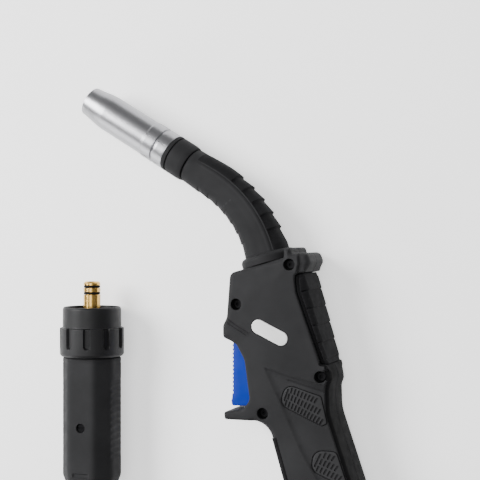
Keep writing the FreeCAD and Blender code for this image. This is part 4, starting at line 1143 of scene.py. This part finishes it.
def housing_radius(radius, angle, height):
    """Flats round the housing, ripples for the fingers at its sides and a latch recess."""
    outer = radius > 12.0
    flat = faceted(angle, HOUSING_FLATS) * radius / 18.2
    off_side = np.degrees(np.abs(np.mod(angle + math.pi / 2, math.pi) - math.pi / 2))
    ripple = 0.8 * (0.5 - 0.5 * np.cos(2 * math.pi * height / 4.2))
    ripple *= eased((26 - off_side) / 10) * eased((height - 20) / 4) * eased((72 - height) / 4)
    across = np.abs(radius * np.cos(angle))
    recess = eased((6.2 - across) / 0.7) * eased((1.6 - np.abs(height - 11.5)) / 0.6)
    recess *= np.sin(angle) > 0
    seam = ridge(np.abs(height - 80.5), 0.45)
    return np.where(outer, np.minimum(flat, 18.2) - ripple - 0.8 * recess - 0.35 * seam, radius)


def sleeve_radius(radius, angle, height):
    flat = faceted(angle, SLEEVE_FLATS) * radius / 11.0
    return np.where(radius > 8.5, np.minimum(flat, 11.0), radius)


def nut_radius(radius, angle, height):
    """U-shaped flutes round the nut's wider rear, open at its step."""
    pitch = 2 * math.pi / FLUTES
    off = (np.mod(angle + pitch / 2, pitch) - pitch / 2) * radius
    below = np.clip(NUT_STEP - FLUTE_LONG + FLUTE_WIDE / 2 - height, 0, None)
    cut = FLUTE_DEEP * eased((FLUTE_WIDE / 2 - np.hypot(off, below)) / 0.5)
    return np.where((radius > 18.6) & (height < NUT_STEP + 0.2), radius - cut, radius)


def make_connector():
    lathe("connector_boot", level_frame(PLUG_AXIS, plug_base), [
        (6.55, 0, 0.1), (9.9, 0, 0.8), (11.0, 1.6, 1.2), (11.0, 71.0, 0.3), (9.5, 71.0, 0.1),
        (9.5, 77.0, 0.2), (6.55, 77.0, 0.1)], "grip_rubber", "connector_sleeve",
        columns=160, shape=sleeve_radius, spacing=2.0)
    grip = lathe("connector_grip", level_frame(PLUG_AXIS, plug_base, SLEEVE_LENGTH), [
        (9.55, 0, 0.1), (13.8, 0, 1.0), (14.9, 1.5, 2.0), (18.2, 10.0, 5.0),
        (18.2, 83.2, 0.8), (17.4, 84.0, 0.3), (9.55, 84.0, 0.1)],
        "handle_plastic", "connector_housing", columns=200, shape=housing_radius,
        spacing=0.7)
    place = Matrix.Translation(plug_base + PLUG_AXIS * (SLEEVE_LENGTH + SCREW_HEIGHT) * MM)
    carve(grip, [cutter("screw_hole", circle((0, 0), 3.0), SCREW_SEAT, 25.0, place)])
    lathe("hand_nut", level_frame(PLUG_AXIS, plug_base, SLEEVE_LENGTH + HOUSING_LENGTH + 0.4), [
        (12.45, 0, 0.1), (19.0, 0, 0.9), (20.0, 1.4, 0.8), (20.0, 17.6, 0.35),
        (18.3, 18.0, 0.3), (18.2, 29.5, 1.2), (17.6, 30.7, 0.6), (16.8, 30.7, 0.2),
        (16.8, 9.0, 0.2), (12.45, 9.0, 0.1)], "nut_plastic", "connector_nut",
        "connector_nut", columns=320, shape=nut_radius, spacing=0.6)


# ---- floor and lights
WHITE = (1, 1, 1, 1)


def add_light(name, place, size, power):
    """A round soft light that faces the frame's origin."""
    light = bpy.data.lights.new(name, "AREA")
    light.shape = "DISK"
    light.size = size
    light.energy = power
    lamp = placed(name, light)
    lamp.location = place
    lamp.rotation_euler = (-Vector(place)).to_track_quat("-Z", "Y").to_euler()


def make_studio():
    """A pale floor and soft lights: one from the upper left, a wide one above, one low."""
    edit = bmesh.new()
    bmesh.ops.create_grid(edit, x_segments=8, y_segments=8, size=3.0)
    mesh = bpy.data.meshes.new("floor")
    edit.to_mesh(mesh)
    edit.free()
    floor = placed("floor", mesh)
    floor.location.z = cad_low[2] - 0.0002
    nodes = Nodes("pale_floor")
    feed(nodes.shader, Base_Color=nodes.clouds(6.0, 3.0, (0.86, 0.86, 0.86, 1), (0.9, 0.9, 0.9, 1)),
         Roughness=0.85, Emission_Color=WHITE, Emission_Strength=0.9)
    mesh.materials.append(nodes.material)
    floor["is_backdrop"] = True
    world = bpy.data.worlds.new("studio")
    world.use_nodes = True
    feed(world.node_tree.nodes["Background"], Color=WHITE, Strength=0.3)
    bpy.context.scene.world = world
    add_light("key", (-0.9, 0.45, 0.95), 0.8, 33)
    add_light("overhead", (0.1, 0.3, 1.5), 1.0, 10)
    add_light("low_left", (-1.0, -0.5, 0.35), 0.7, 6)


def main():
    make_camera()
    cable = make_cable()
    make_studio()
    dress_frame()
    cable.data.materials.append(MATERIALS["cable_rubber"])
    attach(cable, "torch")
    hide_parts("cable_lead", "cable_coil", "cable_tail", "plug_cable_end")
    make_nozzle()
    make_collar()
    make_neck_cover()
    make_neck_flange()
    for side in SIDES:
        make_shell(side)
        make_pads(side)
        make_badges(side)
    make_rear_grip()
    make_front_strip()
    make_trigger()
    make_strain_relief()
    make_connector()


main()
